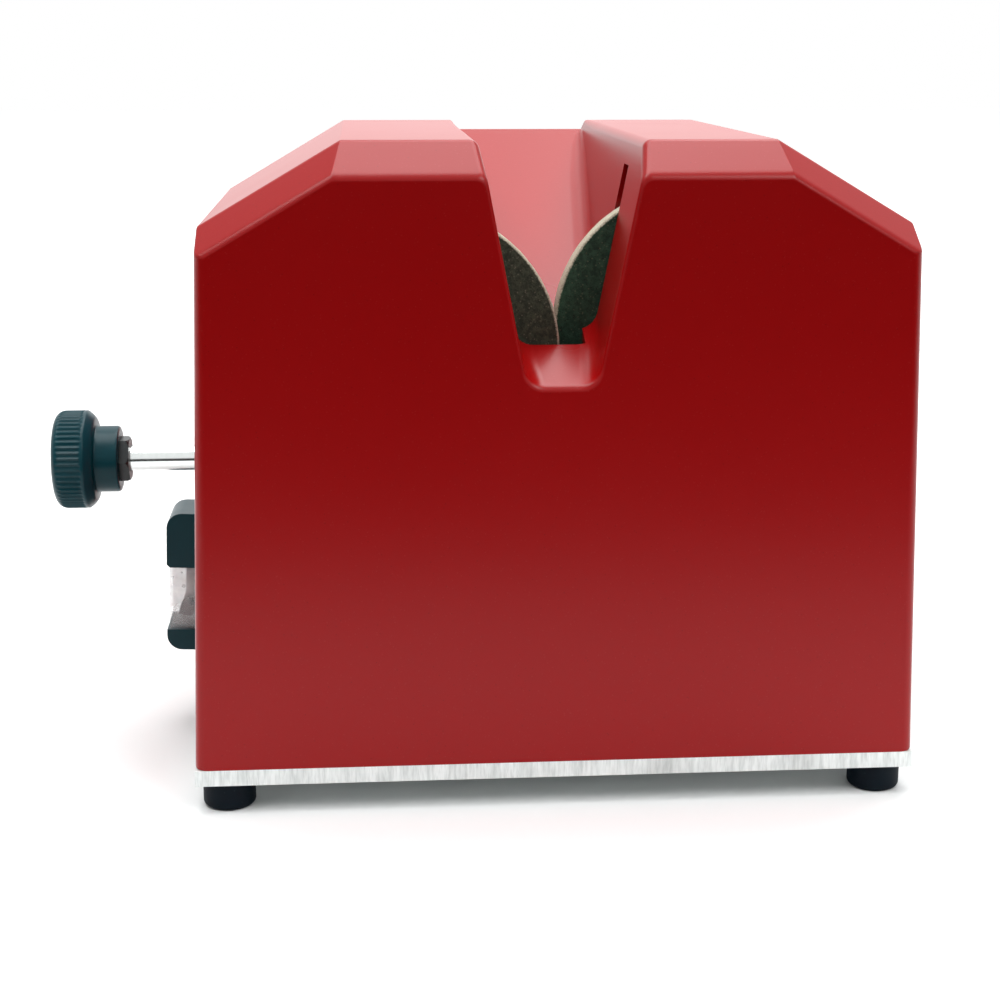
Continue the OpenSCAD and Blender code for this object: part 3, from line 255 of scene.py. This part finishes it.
def sawn_aluminium():
    p = Paint("sawn_aluminium")
    marks = p.noise(420, 3, 0.6, stretch=(1, 0.5, 0.22), turn=(0, math.radians(32), 0))
    fine = p.noise(1500, 2, 0.6, stretch=(1, 0.5, 0.12), turn=(0, math.radians(28), 0))
    dirt = p.noise(30, 4)
    shade = marks.step(0.30, 0.66) * 0.5 + fine.step(0.32, 0.64) * 0.5
    color = p.mix(shade, (0.64, 0.68, 0.67), (0.90, 0.94, 0.93))
    color = p.mix(dirt.step(0.58, 0.74) * 0.35, color, (0.34, 0.35, 0.34))
    return p.finish(Base_Color=color, Metallic=0.45, Roughness=0.55 - shade * 0.12,
                    Normal=p.bump(shade, 0.16, 0.0002))


def cast_aluminium():
    p = Paint("cast_aluminium")
    cloud, grain = p.noise(40, 4), p.noise(700, 3)
    color = p.mix(cloud, (0.42, 0.43, 0.45), (0.62, 0.63, 0.65))
    return p.finish(Base_Color=color, Metallic=0.85, Roughness=0.42 + grain * 0.2,
                    Normal=p.bump(grain, 0.35, 0.0004))


def zinc_steel():
    p = Paint("zinc_steel")
    cloud = p.noise(120, 4)
    color = p.mix(cloud, (0.50, 0.51, 0.52), (0.68, 0.68, 0.66))
    return p.finish(Base_Color=color, Metallic=1.0, Roughness=0.28 + cloud * 0.18,
                    Normal=p.bump(p.noise(1500, 2), 0.08))


def bearing_steel():
    p = Paint("bearing_steel")
    rings = p.noise(2000, 2, stretch=(1, 0.1, 1))
    color = p.mix(rings, (0.55, 0.56, 0.58), (0.74, 0.75, 0.77))
    return p.finish(Base_Color=color, Metallic=1.0, Roughness=0.16 + rings * 0.12,
                    Normal=p.bump(rings, 0.05, 0.0001))


def bright_steel():
    p = Paint("bright_steel")
    rings = p.noise(900, 3, stretch=(1, 0.05, 0.05))
    color = p.mix(rings, (0.74, 0.78, 0.77), (0.86, 0.89, 0.88))
    return p.finish(Base_Color=color, Metallic=1.0, Roughness=0.12 + rings * 0.08,
                    Normal=p.bump(rings, 0.04, 0.0001))


def core_steel():
    p = Paint("core_steel")
    sheets = (p.part(1) * (2 * math.pi / 0.0011)).wave()
    rust = p.noise(60, 4)
    color = p.mix(sheets * 0.5 + 0.5, (0.16, 0.165, 0.17), (0.38, 0.385, 0.39))
    color = p.mix(rust.step(0.55, 0.75) * 0.4, color, (0.24, 0.15, 0.10))
    return p.finish(Base_Color=color, Metallic=0.8, Roughness=0.45 + rust * 0.2,
                    Normal=p.bump(sheets, 0.3, 0.0002))


def black_steel():
    p = Paint("black_steel")
    cloud = p.noise(300, 3)
    color = p.mix(cloud, (0.008, 0.011, 0.012), (0.022, 0.027, 0.028))
    return p.finish(Base_Color=color, Metallic=0.3, Roughness=0.30 + cloud * 0.15,
                    Normal=p.bump(p.noise(1800, 2), 0.06))


def copper():
    p = Paint("copper")
    strands = (p.radius((0, 2), (0, MOTOR_Z * MM)) * (2 * math.pi / 0.0009)).wave()
    cloud = p.noise(80, 3)
    color = p.mix(strands * 0.4 + 0.5, (0.30, 0.09, 0.03), (0.72, 0.30, 0.12))
    return p.finish(Base_Color=color, Metallic=0.7, Roughness=0.28 + cloud * 0.15,
                    Normal=p.bump(strands, 0.4, 0.0003))


def brass():
    p = Paint("brass")
    rings = p.noise(1200, 2, stretch=(0.1, 1, 1))
    color = p.mix(rings, (0.56, 0.40, 0.15), (0.78, 0.60, 0.28))
    return p.finish(Base_Color=color, Metallic=1.0, Roughness=0.22 + rings * 0.15,
                    Normal=p.bump(rings, 0.06, 0.0001))


def black_plastic():
    p = Paint("black_plastic")
    cloud, grain = p.noise(120, 3), p.noise(2200, 2)
    color = p.mix(cloud, (0.001, 0.030, 0.040), (0.002, 0.044, 0.056))
    return p.finish(Base_Color=color, Roughness=0.26 + cloud * 0.10, Specular_IOR_Level=0.16,
                    Normal=p.bump(grain, 0.06, 0.0001))


def dark_plastic():
    p = Paint("dark_plastic")
    cloud, grain = p.noise(90, 3), p.noise(1600, 2)
    color = p.mix(cloud, (0.035, 0.042, 0.048), (0.065, 0.075, 0.082))
    return p.finish(Base_Color=color, Roughness=0.42 + cloud * 0.12,
                    Normal=p.bump(grain, 0.10, 0.0002))


def black_rubber():
    p = Paint("black_rubber")
    cloud, grain = p.noise(150, 3), p.noise(1400, 3)
    color = p.mix(cloud, (0.0005, 0.002, 0.006), (0.001, 0.007, 0.012))
    color = p.mix(p.specks(500, 0.12) * 0.2, color, (0.04, 0.05, 0.05))
    return p.finish(Base_Color=color, Roughness=0.50 + cloud * 0.15, Specular_IOR_Level=0.12,
                    Normal=p.bump(grain, 0.2, 0.0002))


def belt_rubber():
    p = Paint("belt_rubber")
    cloud, grain = p.noise(200, 3), p.noise(1200, 3)
    color = p.mix(cloud, (0.05, 0.028, 0.018), (0.11, 0.06, 0.035))
    return p.finish(Base_Color=color, Roughness=0.55 + cloud * 0.15,
                    Normal=p.bump(grain, 0.25, 0.0002))


def white_plastic():
    p = Paint("white_plastic")
    cloud, grain = p.noise(60, 3), p.noise(1500, 2)
    color = p.mix(cloud, (0.70, 0.68, 0.60), (0.82, 0.80, 0.73))
    return p.finish(Base_Color=color, Roughness=0.38 + cloud * 0.1,
                    Normal=p.bump(grain, 0.06, 0.0001))


def wire_blue():
    p = Paint("wire_blue")
    cloud = p.noise(300, 3)
    color = p.mix(cloud, (0.015, 0.035, 0.13), (0.03, 0.06, 0.21))
    return p.finish(Base_Color=color, Roughness=0.35 + cloud * 0.12,
                    Normal=p.bump(p.noise(1500, 2), 0.08, 0.0001))


def clear_plastic():
    p = Paint("clear_plastic")
    haze = p.noise(70, 4)
    color = p.mix(haze, (0.66, 0.72, 0.72), (0.92, 0.95, 0.94))
    color = p.mix(p.specks(260, 0.2) * 0.9, color, (0.03, 0.04, 0.04))
    return p.finish(Base_Color=color, Roughness=0.08 + haze * 0.10,
                    Alpha=0.22 + haze.step(0.45, 0.75) * 0.22, IOR=1.5,
                    Normal=p.bump(p.noise(500, 3), 0.10, 0.0002))


def abrasive(name, centre, dark, light, speck):
    """A grinding disc: coarse grit on its faces and a pale, worn rim."""
    p = Paint(name)
    out = p.radius((0, 2), (centre[0] * MM, centre[2] * MM))
    grit, fine = p.noise(520, 4, 0.7), p.noise(1900, 3, 0.6)
    color = p.mix(grit.step(0.35, 0.68), dark, light)
    color = p.mix(p.specks(900, 0.26) * 0.75, color, speck)
    color = p.mix(p.specks(1250, 0.24) * 0.8, color, (0.006, 0.006, 0.005))
    worn = (out + fine * 0.0008).step((DISC_R - 0.6) * MM, (DISC_R - 0.1) * MM)
    pale = p.mix(fine.step(0.3, 0.7), (0.38, 0.35, 0.25), (0.56, 0.53, 0.42))
    color = p.mix(worn, color, pale)
    return p.finish(Base_Color=color, Roughness=0.80 + fine * 0.15,
                    Normal=p.bump(grit + fine * 0.6, 0.7, 0.0004))


def finishes():
    return {
        "red_cover": red_plastic(), "clear_plastic": clear_plastic(),
        "black_plastic": black_plastic(), "dark_plastic": dark_plastic(),
        "black_rubber": black_rubber(), "plate_aluminium": sawn_aluminium(),
        "cast_aluminium": cast_aluminium(), "bright_steel": bright_steel(),
        "zinc_steel": zinc_steel(), "core_steel": core_steel(), "bearing_steel": bearing_steel(),
        "black_steel": black_steel(), "copper": copper(), "brass": brass(),
        "belt_rubber": belt_rubber(), "white_plastic": white_plastic(), "wire_blue": wire_blue(),
        "left_abrasive": abrasive("left_abrasive", LEFT_DISC, (0.014, 0.024, 0.012),
                                  (0.058, 0.072, 0.044), (0.14, 0.14, 0.10)),
        "right_abrasive": abrasive("right_abrasive", RIGHT_DISC, (0.008, 0.040, 0.022),
                                   (0.034, 0.100, 0.058), (0.11, 0.15, 0.09)),
    }


# ---------------------------------------------------------------- making pieces

def solid(name, verts, faces):
    """A closed mesh object from points in millimetres."""
    bm = bmesh.new()
    made = [bm.verts.new(Vector(v) * MM) for v in verts]
    for face in faces:
        bm.faces.new([made[i] for i in face])
    bmesh.ops.remove_doubles(bm, verts=bm.verts, dist=1e-7)
    bmesh.ops.recalc_face_normals(bm, faces=bm.faces)
    return linked(name, bm)


def linked(name, bm):
    mesh = bpy.data.meshes.new(name)
    bm.to_mesh(mesh)
    bm.free()
    made = bpy.data.objects.new(name, mesh)
    bpy.context.collection.objects.link(made)
    return made


def baked(obj):
    """Turns the object's modifiers into plain mesh."""
    graph = bpy.context.evaluated_depsgraph_get()
    mesh = bpy.data.meshes.new_from_object(obj.evaluated_get(graph), depsgraph=graph)
    obj.modifiers.clear()
    obj.data = mesh
    mesh.name = obj.name
    return obj


def smoothed(obj, angle=32, bevel=0, segments=2):
    """Bevels sharp edges if asked, and shades flat faces flat and curved ones smooth."""
    if bevel:
        edge = obj.modifiers.new("bevel", "BEVEL")
        edge.width, edge.segments = bevel * MM, segments
        edge.limit_method, edge.angle_limit = "ANGLE", math.radians(angle)
        baked(obj)
    obj.data.polygons.foreach_set("use_smooth", [True] * len(obj.data.polygons))
    obj.data.set_sharp_from_angle(angle=math.radians(angle))
    weight = obj.modifiers.new("normals", "WEIGHTED_NORMAL")
    weight.keep_sharp = True
    return baked(obj)


def piece(obj, body, slot, *nodes):
    """Finishes a piece: its material, the body it rides on and the nodes it stands for."""
    obj.data.materials.clear()
    obj.data.materials.append(FINISH[slot])
    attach(obj, body)
    if nodes:
        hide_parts(*nodes)
    return obj


def lathe(name, outline, columns, place, axis, wobble=None, closed=False):
    """Turns an outline of (along, radius) about an axis; a radius of 0 is a pole."""
    verts, rows = [], []
    for along, radius in outline:
        row = []
        for i in range(1 if radius == 0 else columns):
            turn = 2 * math.pi * i / columns
            r = wobble(along, radius, turn) if wobble and radius else radius
            a, b = r * math.cos(turn), r * math.sin(turn)
            point = {"X": (along, a, b), "Y": (a, along, b), "Z": (a, b, along)}[axis]
            row.append(len(verts))
            verts.append(Vector(place) + Vector(point))
        rows.append(row)
    faces = []
    pairs = list(zip(rows, rows[1:])) + ([(rows[-1], rows[0])] if closed else [])
    for low, high in pairs:
        for i in range(columns):
            j = (i + 1) % columns
            face = [low[i % len(low)], low[j % len(low)], high[j % len(high)], high[i % len(high)]]
            faces.append(list(dict.fromkeys(face)))
    return solid(name, verts, faces)


def box(name, low, high):
    corners = [(x, y, z) for x in (low[0], high[0]) for y in (low[1], high[1])
               for z in (low[2], high[2])]
    return solid(name, corners, [(0, 1, 3, 2), (4, 6, 7, 5), (0, 4, 5, 1), (2, 3, 7, 6),
                                 (0, 2, 6, 4), (1, 5, 7, 3)])


def cut(obj, tools):
    """Takes the tools' shapes out of obj."""
    for tool in tools:
        hole = obj.modifiers.new("hole", "BOOLEAN")
        hole.operation, hole.solver, hole.object = "DIFFERENCE", "EXACT", tool
        baked(obj)
        bpy.data.objects.remove(tool)
    return obj


def softened(node, bevel, slot, segments=2):
    """A CAD node again, with its sharp edges bevelled."""
    bm = bmesh.new()
    bm.from_mesh(frame["nodes"][node].data)
    bmesh.ops.remove_doubles(bm, verts=bm.verts, dist=2e-6)
    bmesh.ops.dissolve_limit(bm, angle_limit=math.radians(0.6), verts=bm.verts, edges=bm.edges)
    for layer in list(bm.loops.layers.float_vector.values()):
        bm.loops.layers.float_vector.remove(layer)
    made = linked(node + "_look", bm)
    smoothed(made, 35, bevel, segments)
    return piece(made, body_of[node], slot, node)


# ---------------------------------------------------------------- cover

def rounded(corners):
    """Outline points of corners (x, z, radius, steps), each corner rounded."""
    points = []
    count = len(corners)
    for i, (x, z, radius, steps) in enumerate(corners):
        p = Vector((x, z))
        before, after = (Vector(corners[k % count][:2]) for k in (i - 1, i + 1))
        if not steps:
            points.append(p)
            continue
        u, v = before - p, after - p
        room = 0.46 * min(u.length, v.length)
        u.normalize()
        v.normalize()
        half = math.acos(max(-1.0, min(1.0, u.dot(v)))) / 2
        reach = min(radius / math.tan(half), room)
        centre = p + (u + v).normalized() * (reach / math.cos(half))
        start, end = p + u * reach - centre, p + v * reach - centre
        whole = start.angle(end)
        for k in range(steps + 1):
            t = k / steps
            points.append(centre + (start * math.sin((1 - t) * whole)
                                    + end * math.sin(t * whole)) / math.sin(whole))
    return points


def crossing(a, b):
    """Where two lines meet; each is (normal x, normal z, distance)."""
    det = a[0] * b[1] - a[1] * b[0]
    return ((a[2] * b[1] - a[1] * b[2]) / det, (a[0] * b[2] - a[2] * b[0]) / det)


def eased(depth, start, slope, half=0.8):
    """A fall that begins at a depth from the face, with its edge rounded."""
    if depth >= start + half:
        return 0.0
    if depth <= start - half:
        return slope * (start - depth)
    return slope * (start + half - depth) ** 2 / (4 * half)


def edge_in(depth, radius):
    """How far a rounded edge lies in, at a depth from the face it rounds to."""
    return radius - math.sqrt(radius ** 2 - (radius - depth) ** 2) if depth < radius else 0.0


def cover_section(y, inset, low):
    """Outline of the cover at y, inset from its outer face."""
    depth = BODY_D / 2 - abs(y)
    own = depth - inset
    hidden = inset > 0
    side_in, top_in, trough_in = (0, 0, 0) if hidden else (
        edge_in(own, UPRIGHT_R), edge_in(own, BAND_R) * 0.75, edge_in(own, MOUTH_R))
    shift = inset * math.tan(math.atan2(BAND_FALL, BAND_D) / 2)
    fall = eased(depth, BAND_D + shift, BAND_FALL / BAND_D)
    shoulder_fall = eased(depth, BAND_D + shift, SHOULDER_FALL / BAND_D)
    side = (math.cos(SIDE_LEAN), math.sin(SIDE_LEAN),
            BODY_W / 2 * math.cos(SIDE_LEAN) + FLOOR_Z * math.sin(SIDE_LEAN) - inset - side_in)
    shoulder = (math.sin(SHOULDER), math.cos(SHOULDER), TOP_W / 2 * math.sin(SHOULDER)
                + TOP_Z * math.cos(SHOULDER) - inset - shoulder_fall - top_in)
    top = (0.0, 1.0, TOP_Z - inset - fall - top_in)
    grow = TROUGH_WALL if hidden else trough_in
    wall = (math.cos(TROUGH_LEAN), -math.sin(TROUGH_LEAN),
            TROUGH_W / 2 * math.cos(TROUGH_LEAN) - TOP_Z * math.sin(TROUGH_LEAN) + grow)
    ramp_z = TROUGH_Z + (y - FRONT_Y) * math.tan(RAMP) - grow / math.cos(RAMP)
    floor = (0.0, 1.0, min(ramp_z, top[2] - 0.05))
    foot = ((side[2] - side[1] * low) / side[0], low)
    room = min(1.0, (top[2] - floor[2]) / 12)
    right = [(*foot, FOOT_R, 0 if hidden else 2), (*crossing(side, shoulder), SIDE_R, 4),
             (*crossing(shoulder, top), SHOULDER_R, 4), (*crossing(top, wall), LIP_R * room, 6),
             (*crossing(wall, floor), TROUGH_R * room, 8)]
    left = [(-x, z, radius, steps) for x, z, radius, steps in reversed(right)]
    return rounded(right + left)


def cover_solid(name, inset, low):
    """The cover's form, skinned over sections from front to back."""
    half = BODY_D / 2 - inset
    rounding = [0, 0.03, 0.12, 0.3, 0.6, 1.0, 1.5, 2.3, UPRIGHT_R, 7]
    band = [BAND_D + 0.4 * i for i in range(-2, 3)]
    depths = [0, 4, 8, 12, 14, 17] if inset else [*rounding, *band, 20]
    ys = [depth - half for depth in depths]
    ys += [-40 + 10 * i for i in range(9)]
    ys += [half - depth for depth in reversed(depths)]
    ys = sorted(set(ys + ([] if inset else [meet_band()])))
    loops = [cover_section(y, inset, low) for y in ys]
    verts = [(p.x, y, p.y) for y, loop in zip(ys, loops) for p in loop]
    count = len(loops[0])
    faces = [[k * count + i, k * count + (i + 1) % count, (k + 1) * count + (i + 1) % count,
              (k + 1) * count + i] for k in range(len(ys) - 1) for i in range(count)]
    faces.append(list(range(count)))
    faces.append([(len(ys) - 1) * count + i for i in range(count)])
    return solid(name, verts, faces)


def meet_band():
    """Where the trough's floor runs out through the band at the back."""
    slope = BAND_FALL / BAND_D
    start = BODY_D / 2 - BAND_D
    ramp = math.tan(RAMP)
    return (TOP_Z + slope * start - TROUGH_Z + FRONT_Y * ramp) / (slope + ramp)


def cover():
    made = cover_solid("cover_shell", 0, FLOOR_Z)
    hollow = cover_solid("hollow", WALL, FLOOR_Z - 2)
    slots = [box("slot", (x0, FRONT_Y + a, SLOT_LOW), (x1, FRONT_Y + b, SLOT_TOP))
             for x0, x1, (a, b) in ((-SLOT_FAR, SLOT_CROSS, LEFT_SLOT),
                                    (-SLOT_CROSS, SLOT_FAR, RIGHT_SLOT))]
    rod_hole = lathe("hole", [(-14, 0), (-14, ROD_HOLE_R), (14, ROD_HOLE_R), (14, 0)], 48,
                     (-105, SCREW_Y, SCREW_Z), "X")
    cut(made, [hollow, *slots, rod_hole, box("hole", *SWITCH_HOLE), box("hole", *INLET_HOLE)])
    smoothed(made, 28)
    return piece(made, "frame", "red_cover", "cover")


# ---------------------------------------------------------------- discs and knob

def grinding_disc(name, place, body, slot, node):
    """A disc with a worn rim that is not quite even."""
    half = DISC_T / 2
    outline = [(-half, DISC_BORE), (-half, 30), (-half, DISC_R - 1.1), (-half + 0.12, DISC_R - 0.6),
               (-half + 0.45, DISC_R - 0.2), (-half + 1.0, DISC_R - 0.05), (0, DISC_R - 0.02),
               (half - 1.0, DISC_R - 0.05), (half - 0.45, DISC_R - 0.2),
               (half - 0.12, DISC_R - 0.6), (half, DISC_R - 1.1), (half, 30), (half, DISC_BORE)]

    def worn(along, radius, turn):
        if radius < DISC_R - 2:
            return radius
        return radius - 0.06 - 0.03 * math.sin(23 * turn + along) - 0.02 * math.sin(57 * turn)

    x, y, z = place
    made = lathe(name, outline, 288, (x, y + half, z), "Y", worn, closed=True)
    smoothed(made, 40)
    return piece(made, body, slot, node)


def knob():
    """Moulded knob: straight ribs round its head, and a smooth neck."""
    ribs, deep = 56, 0.42
    rib_from, rib_to = 1.6, 9.4

    def ribbed(along, radius, turn):
        if not rib_from < along < rib_to or radius < KNOB_R - 1.5:
            return radius
        ease = min(1.0, (along - rib_from) / 0.8, (rib_to - along) / 0.5)
        trough = 0.5 - 0.5 * math.cos(ribs * turn)
        return radius - deep * ease * trough ** 0.6

    face = [(0.55, 0), (0.5, 6.0), (0.1, 10.2), (0.0, 11.4)]
    shoulder = [(3.4 * (1 - math.cos(a)), KNOB_R - 3.4 * (1 - math.sin(a)))
                for a in (math.radians(d) for d in range(8, 91, 8))]
    side = [(4, KNOB_R), (5, KNOB_R), (6.5, KNOB_R), (8, KNOB_R), (8.9, KNOB_R), (9.2, KNOB_R),
            (9.5, KNOB_R), (10.0, KNOB_R), (10.4, KNOB_R - 0.15),
            (KNOB_L - 1.0, KNOB_R - 1.2), (KNOB_L - 0.3, KNOB_R - 2.0), (KNOB_L, KNOB_R - 2.6)]
    neck = [(KNOB_L, NECK_R + 1.0), (KNOB_L + 0.25, NECK_R + 0.3), (KNOB_L + 0.8, NECK_R),
            (KNOB_L + NECK_L - 0.9, NECK_R), (KNOB_L + NECK_L - 0.25, NECK_R - 0.3),
            (KNOB_L + NECK_L, NECK_R - 0.9), (KNOB_L + NECK_L, 4.0), (KNOB_L + NECK_L - 2, 0)]
    made = lathe("knob_look", face + shoulder + side + neck, ribs * 6,
                 (KNOB_X, SCREW_Y, SCREW_Z), "X", ribbed)
    smoothed(made, 40)
    return piece(made, "screw", "black_plastic", "knob")


# ---------------------------------------------------------------- screws

def screw_tree(material):
    """Geometry nodes: a screw on each point, turned by chance with a fixed seed."""
    tree = bpy.data.node_groups.new("screws", "GeometryNodeTree")
    for name, way, kind in (("Geometry", "INPUT", "NodeSocketGeometry"),
                            ("Screw", "INPUT", "NodeSocketObject"),
                            ("Size", "INPUT", "NodeSocketFloat"),
                            ("Seed", "INPUT", "NodeSocketInt"),
                            ("Geometry", "OUTPUT", "NodeSocketGeometry")):
        tree.interface.new_socket(name, in_out=way, socket_type=kind)
    nodes = Nodes(tree)
    points, screw, size, seed = (nodes.add("NodeGroupInput", output=name)
                                 for name in ("Geometry", "Screw", "Size", "Seed"))
    shape = nodes.add("GeometryNodeObjectInfo", {"Object": screw}, output="Geometry")
    turn = nodes.add("FunctionNodeRandomValue", {3: 2 * math.pi, "Seed": seed}, output=1,
                     data_type="FLOAT")
    spin = nodes.add("ShaderNodeCombineXYZ", {"Z": turn})
    placed = nodes.add("GeometryNodeInstanceOnPoints", {
        "Points": points, "Instance": shape, "Rotation": spin, "Scale": size})
    real = nodes.add("GeometryNodeRealizeInstances", {0: placed})
    painted = nodes.add("GeometryNodeSetMaterial", {"Geometry": real, "Material": material})
    nodes.add("NodeGroupOutput", {"Geometry": painted})
    return tree


def screws(name, head, places, seed, node, turned=None):
    """A set of equal screws: one is drawn head down at the origin, and put on each place."""
    made = solid(name, places, [])
    if turned:
        made.data.transform(turned.inverted())
    tree = screw_tree(FINISH["zinc_steel"])
    grow = made.modifiers.new("screws", "NODES")
    grow.node_group = tree
    sockets = {item.name: item.identifier for item in tree.interface.items_tree
               if item.in_out == "INPUT"}
    grow[sockets["Screw"]], grow[sockets["Size"]], grow[sockets["Seed"]] = head, 1.0, seed
    baked(made)
    if turned:
        made.data.transform(turned)
    bpy.data.objects.remove(head)
    return piece(made, "frame", "zinc_steel", node)


def countersunk(name, shank):
    """Flat head, 8 mm across, with a cross recess, and a shank upwards."""
    head = lathe(name, [(0, 0), (0, 3.75), (0.12, 3.95), (0.25, 3.95), (2.0, 2.0),
                        (shank - 0.8, 2.0), (shank, 1.3), (shank, 0)], 32, (0, 0, 0), "Z")
    arms = [box("arm", (-2.3, -0.45, -1), (2.3, 0.45, 1.2)),
            box("arm", (-0.45, -2.3, -1), (0.45, 2.3, 1.2))]
    return smoothed(cut(head, arms), 32)


def round_head(name, radius, height, shank, thread):
    """Domed head with a cross recess, and a shank upwards."""
    dome = [(height * (1 - math.sin(a)), radius * math.cos(a))
            for a in (math.radians(d) for d in range(80, -1, -16))]
    head = lathe(name, [(0, 0), *dome, (height, radius), (height, thread), (shank, thread),
                        (shank, 0)], 32, (0, 0, 0), "Z")
    arms = [box("arm", (-radius * 0.55, -0.4, -1), (radius * 0.55, 0.4, height * 0.6)),
            box("arm", (-0.4, -radius * 0.55, -1), (0.4, radius * 0.55, height * 0.6))]
    return smoothed(cut(head, arms), 32)


def all_screws():
    corners = [(sx, sy) for sx in (-1, 1) for sy in (-1, 1)]
    screws("cover_screw_set", countersunk("screw", 23),
           [(sx * COVER_SCREW[0], sy * COVER_SCREW[1], PLATE_LOW) for sx, sy in corners],
           1, "cover_screws")
    screws("base_screw_set", countersunk("screw", 7),
           [(x, y, PLATE_LOW) for x, y in BASE_SCREWS], 2, "base_screws")
    screws("foot_screw_set", round_head("screw", 4.5, 2.9, 14, 2.5),
           [(sx * FOOT_SCREW[0], sy * FOOT_SCREW[1], FOOT_SCREW[2]) for sx, sy in corners],
           3, "foot_screws")
    back = Matrix.Rotation(math.radians(90), 4, "X")
    screws("inlet_screw_set", round_head("screw", 2.8, 1.5, 9.5, 1.5),
           [(INLET_X + side * INLET_SCREW, INLET_Y, INLET_Z) for side in (-1, 1)],
           4, "inlet_screws", turned=back)


# ---------------------------------------------------------------- stage

def area_light(name, place, aim, size, power):
    data = bpy.data.lights.new(name, "AREA")
    data.shape, data.size, data.size_y, data.energy = "RECTANGLE", *size, power
    lamp = bpy.data.objects.new(name, data)
    lamp.location = place
    lamp.rotation_euler = (Vector(aim) - Vector(place)).to_track_quat("-Z", "Y").to_euler()
    bpy.context.collection.objects.link(lamp)


def pale_floor():
    """A floor that keeps the object's shadow and turns white away from it."""
    p = Paint("floor")
    camera, glossy, through = p.rays()
    away = p.radius((0, 1), (0, 0)).step(0.35, 1.3)
    lit = p.add("ShaderNodeBsdfDiffuse", {"Color": (0.91, 0.92, 0.92)})
    glow = p.add("ShaderNodeEmission", {
        "Color": (1.0, 1.0, 1.0), "Strength": camera.high(glossy).high(through) * away * 0.6})
    both = p.add("ShaderNodeAddShader", {0: lit, 1: glow})
    p.put(p.tree.nodes["Material Output"].inputs["Surface"], both)
    # It ends 320 mm in front of the middle, so that the body's front mirrors a dark room
    floor = box("floor", (-4000, -320, -20), (4000, 6000, 0))
    floor.data.materials.append(p.material)


def white_room():
    """White to the camera, and in mirrors but for low in front; as a light, a dim dome."""
    world = bpy.data.worlds.new("studio")
    world.use_nodes = True
    w = Nodes(world.node_tree)
    toward = w.add("ShaderNodeTexCoord", output="Generated")
    back, up = (w.add("ShaderNodeSeparateXYZ", {0: toward}, output=axis) for axis in ("Y", "Z"))
    white = back.step(-0.3, 0.1).high(up.step(0.02, 0.15))
    dome = (back * 0.6 + up * 0.8).step(-0.2, 0.6)
    camera, glossy, through = w.rays()
    shown = camera.high(glossy.high(through) * white)
    sky = w.tree.nodes["Background"].inputs
    w.put(sky["Strength"], shown.high(dome * 0.5 + 0.04))
    w.put(sky["Color"], (1.0, 1.0, 1.0))
    bpy.context.scene.world = world


def studio():
    pale_floor()
    white_room()
    area_light("top_light", (-0.1, 0.12, 1.45), (0, 0, 0.1), (2.1, 0.8), 31)
    area_light("back_light", (0.0, 1.3, 1.5), (0, 0, 0.1), (1.6, 0.8), 6)
    area_light("low_light", (0.2, 2.2, 0.55), (0, 0, 0.15), (2.6, 0.7), 3)
    area_light("front_light", (0.8, -1.0, 1.5), (0, 0, 0.1), (0.8, 0.8), 13)
    bpy.context.scene.view_settings.view_transform = "Standard"


# ---------------------------------------------------------------- the object

place_camera()
FINISH = finishes()
body_of = {node: body for body, nodes in frame["record"]["behaviour"]["bodies"].items()
           for node in nodes}
slot_of = {part["node"]: part["material_slot"] for part in frame["record"]["subparts"]}
for node, solid_node in frame["nodes"].items():
    solid_node.data.materials.clear()
    solid_node.data.materials.append(FINISH[slot_of[node]])

cover()
grinding_disc("left_disc_look", LEFT_DISC, "left_disc_group", "left_abrasive", "left_disc")
grinding_disc("right_disc_look", RIGHT_DISC, "right_disc_group", "right_abrasive", "right_disc")
knob()
softened("base_plate", 0.35, "plate_aluminium")
softened("switch_guard", 2.2, "black_plastic", segments=4)
softened("switch_boot", 0.45, "clear_plastic")
softened("switch_rocker", 0.5, "dark_plastic", segments=3)
softened("jam_nut", 0.25, "black_steel")
softened("inlet_body", 0.5, "black_plastic")
all_screws()
studio()
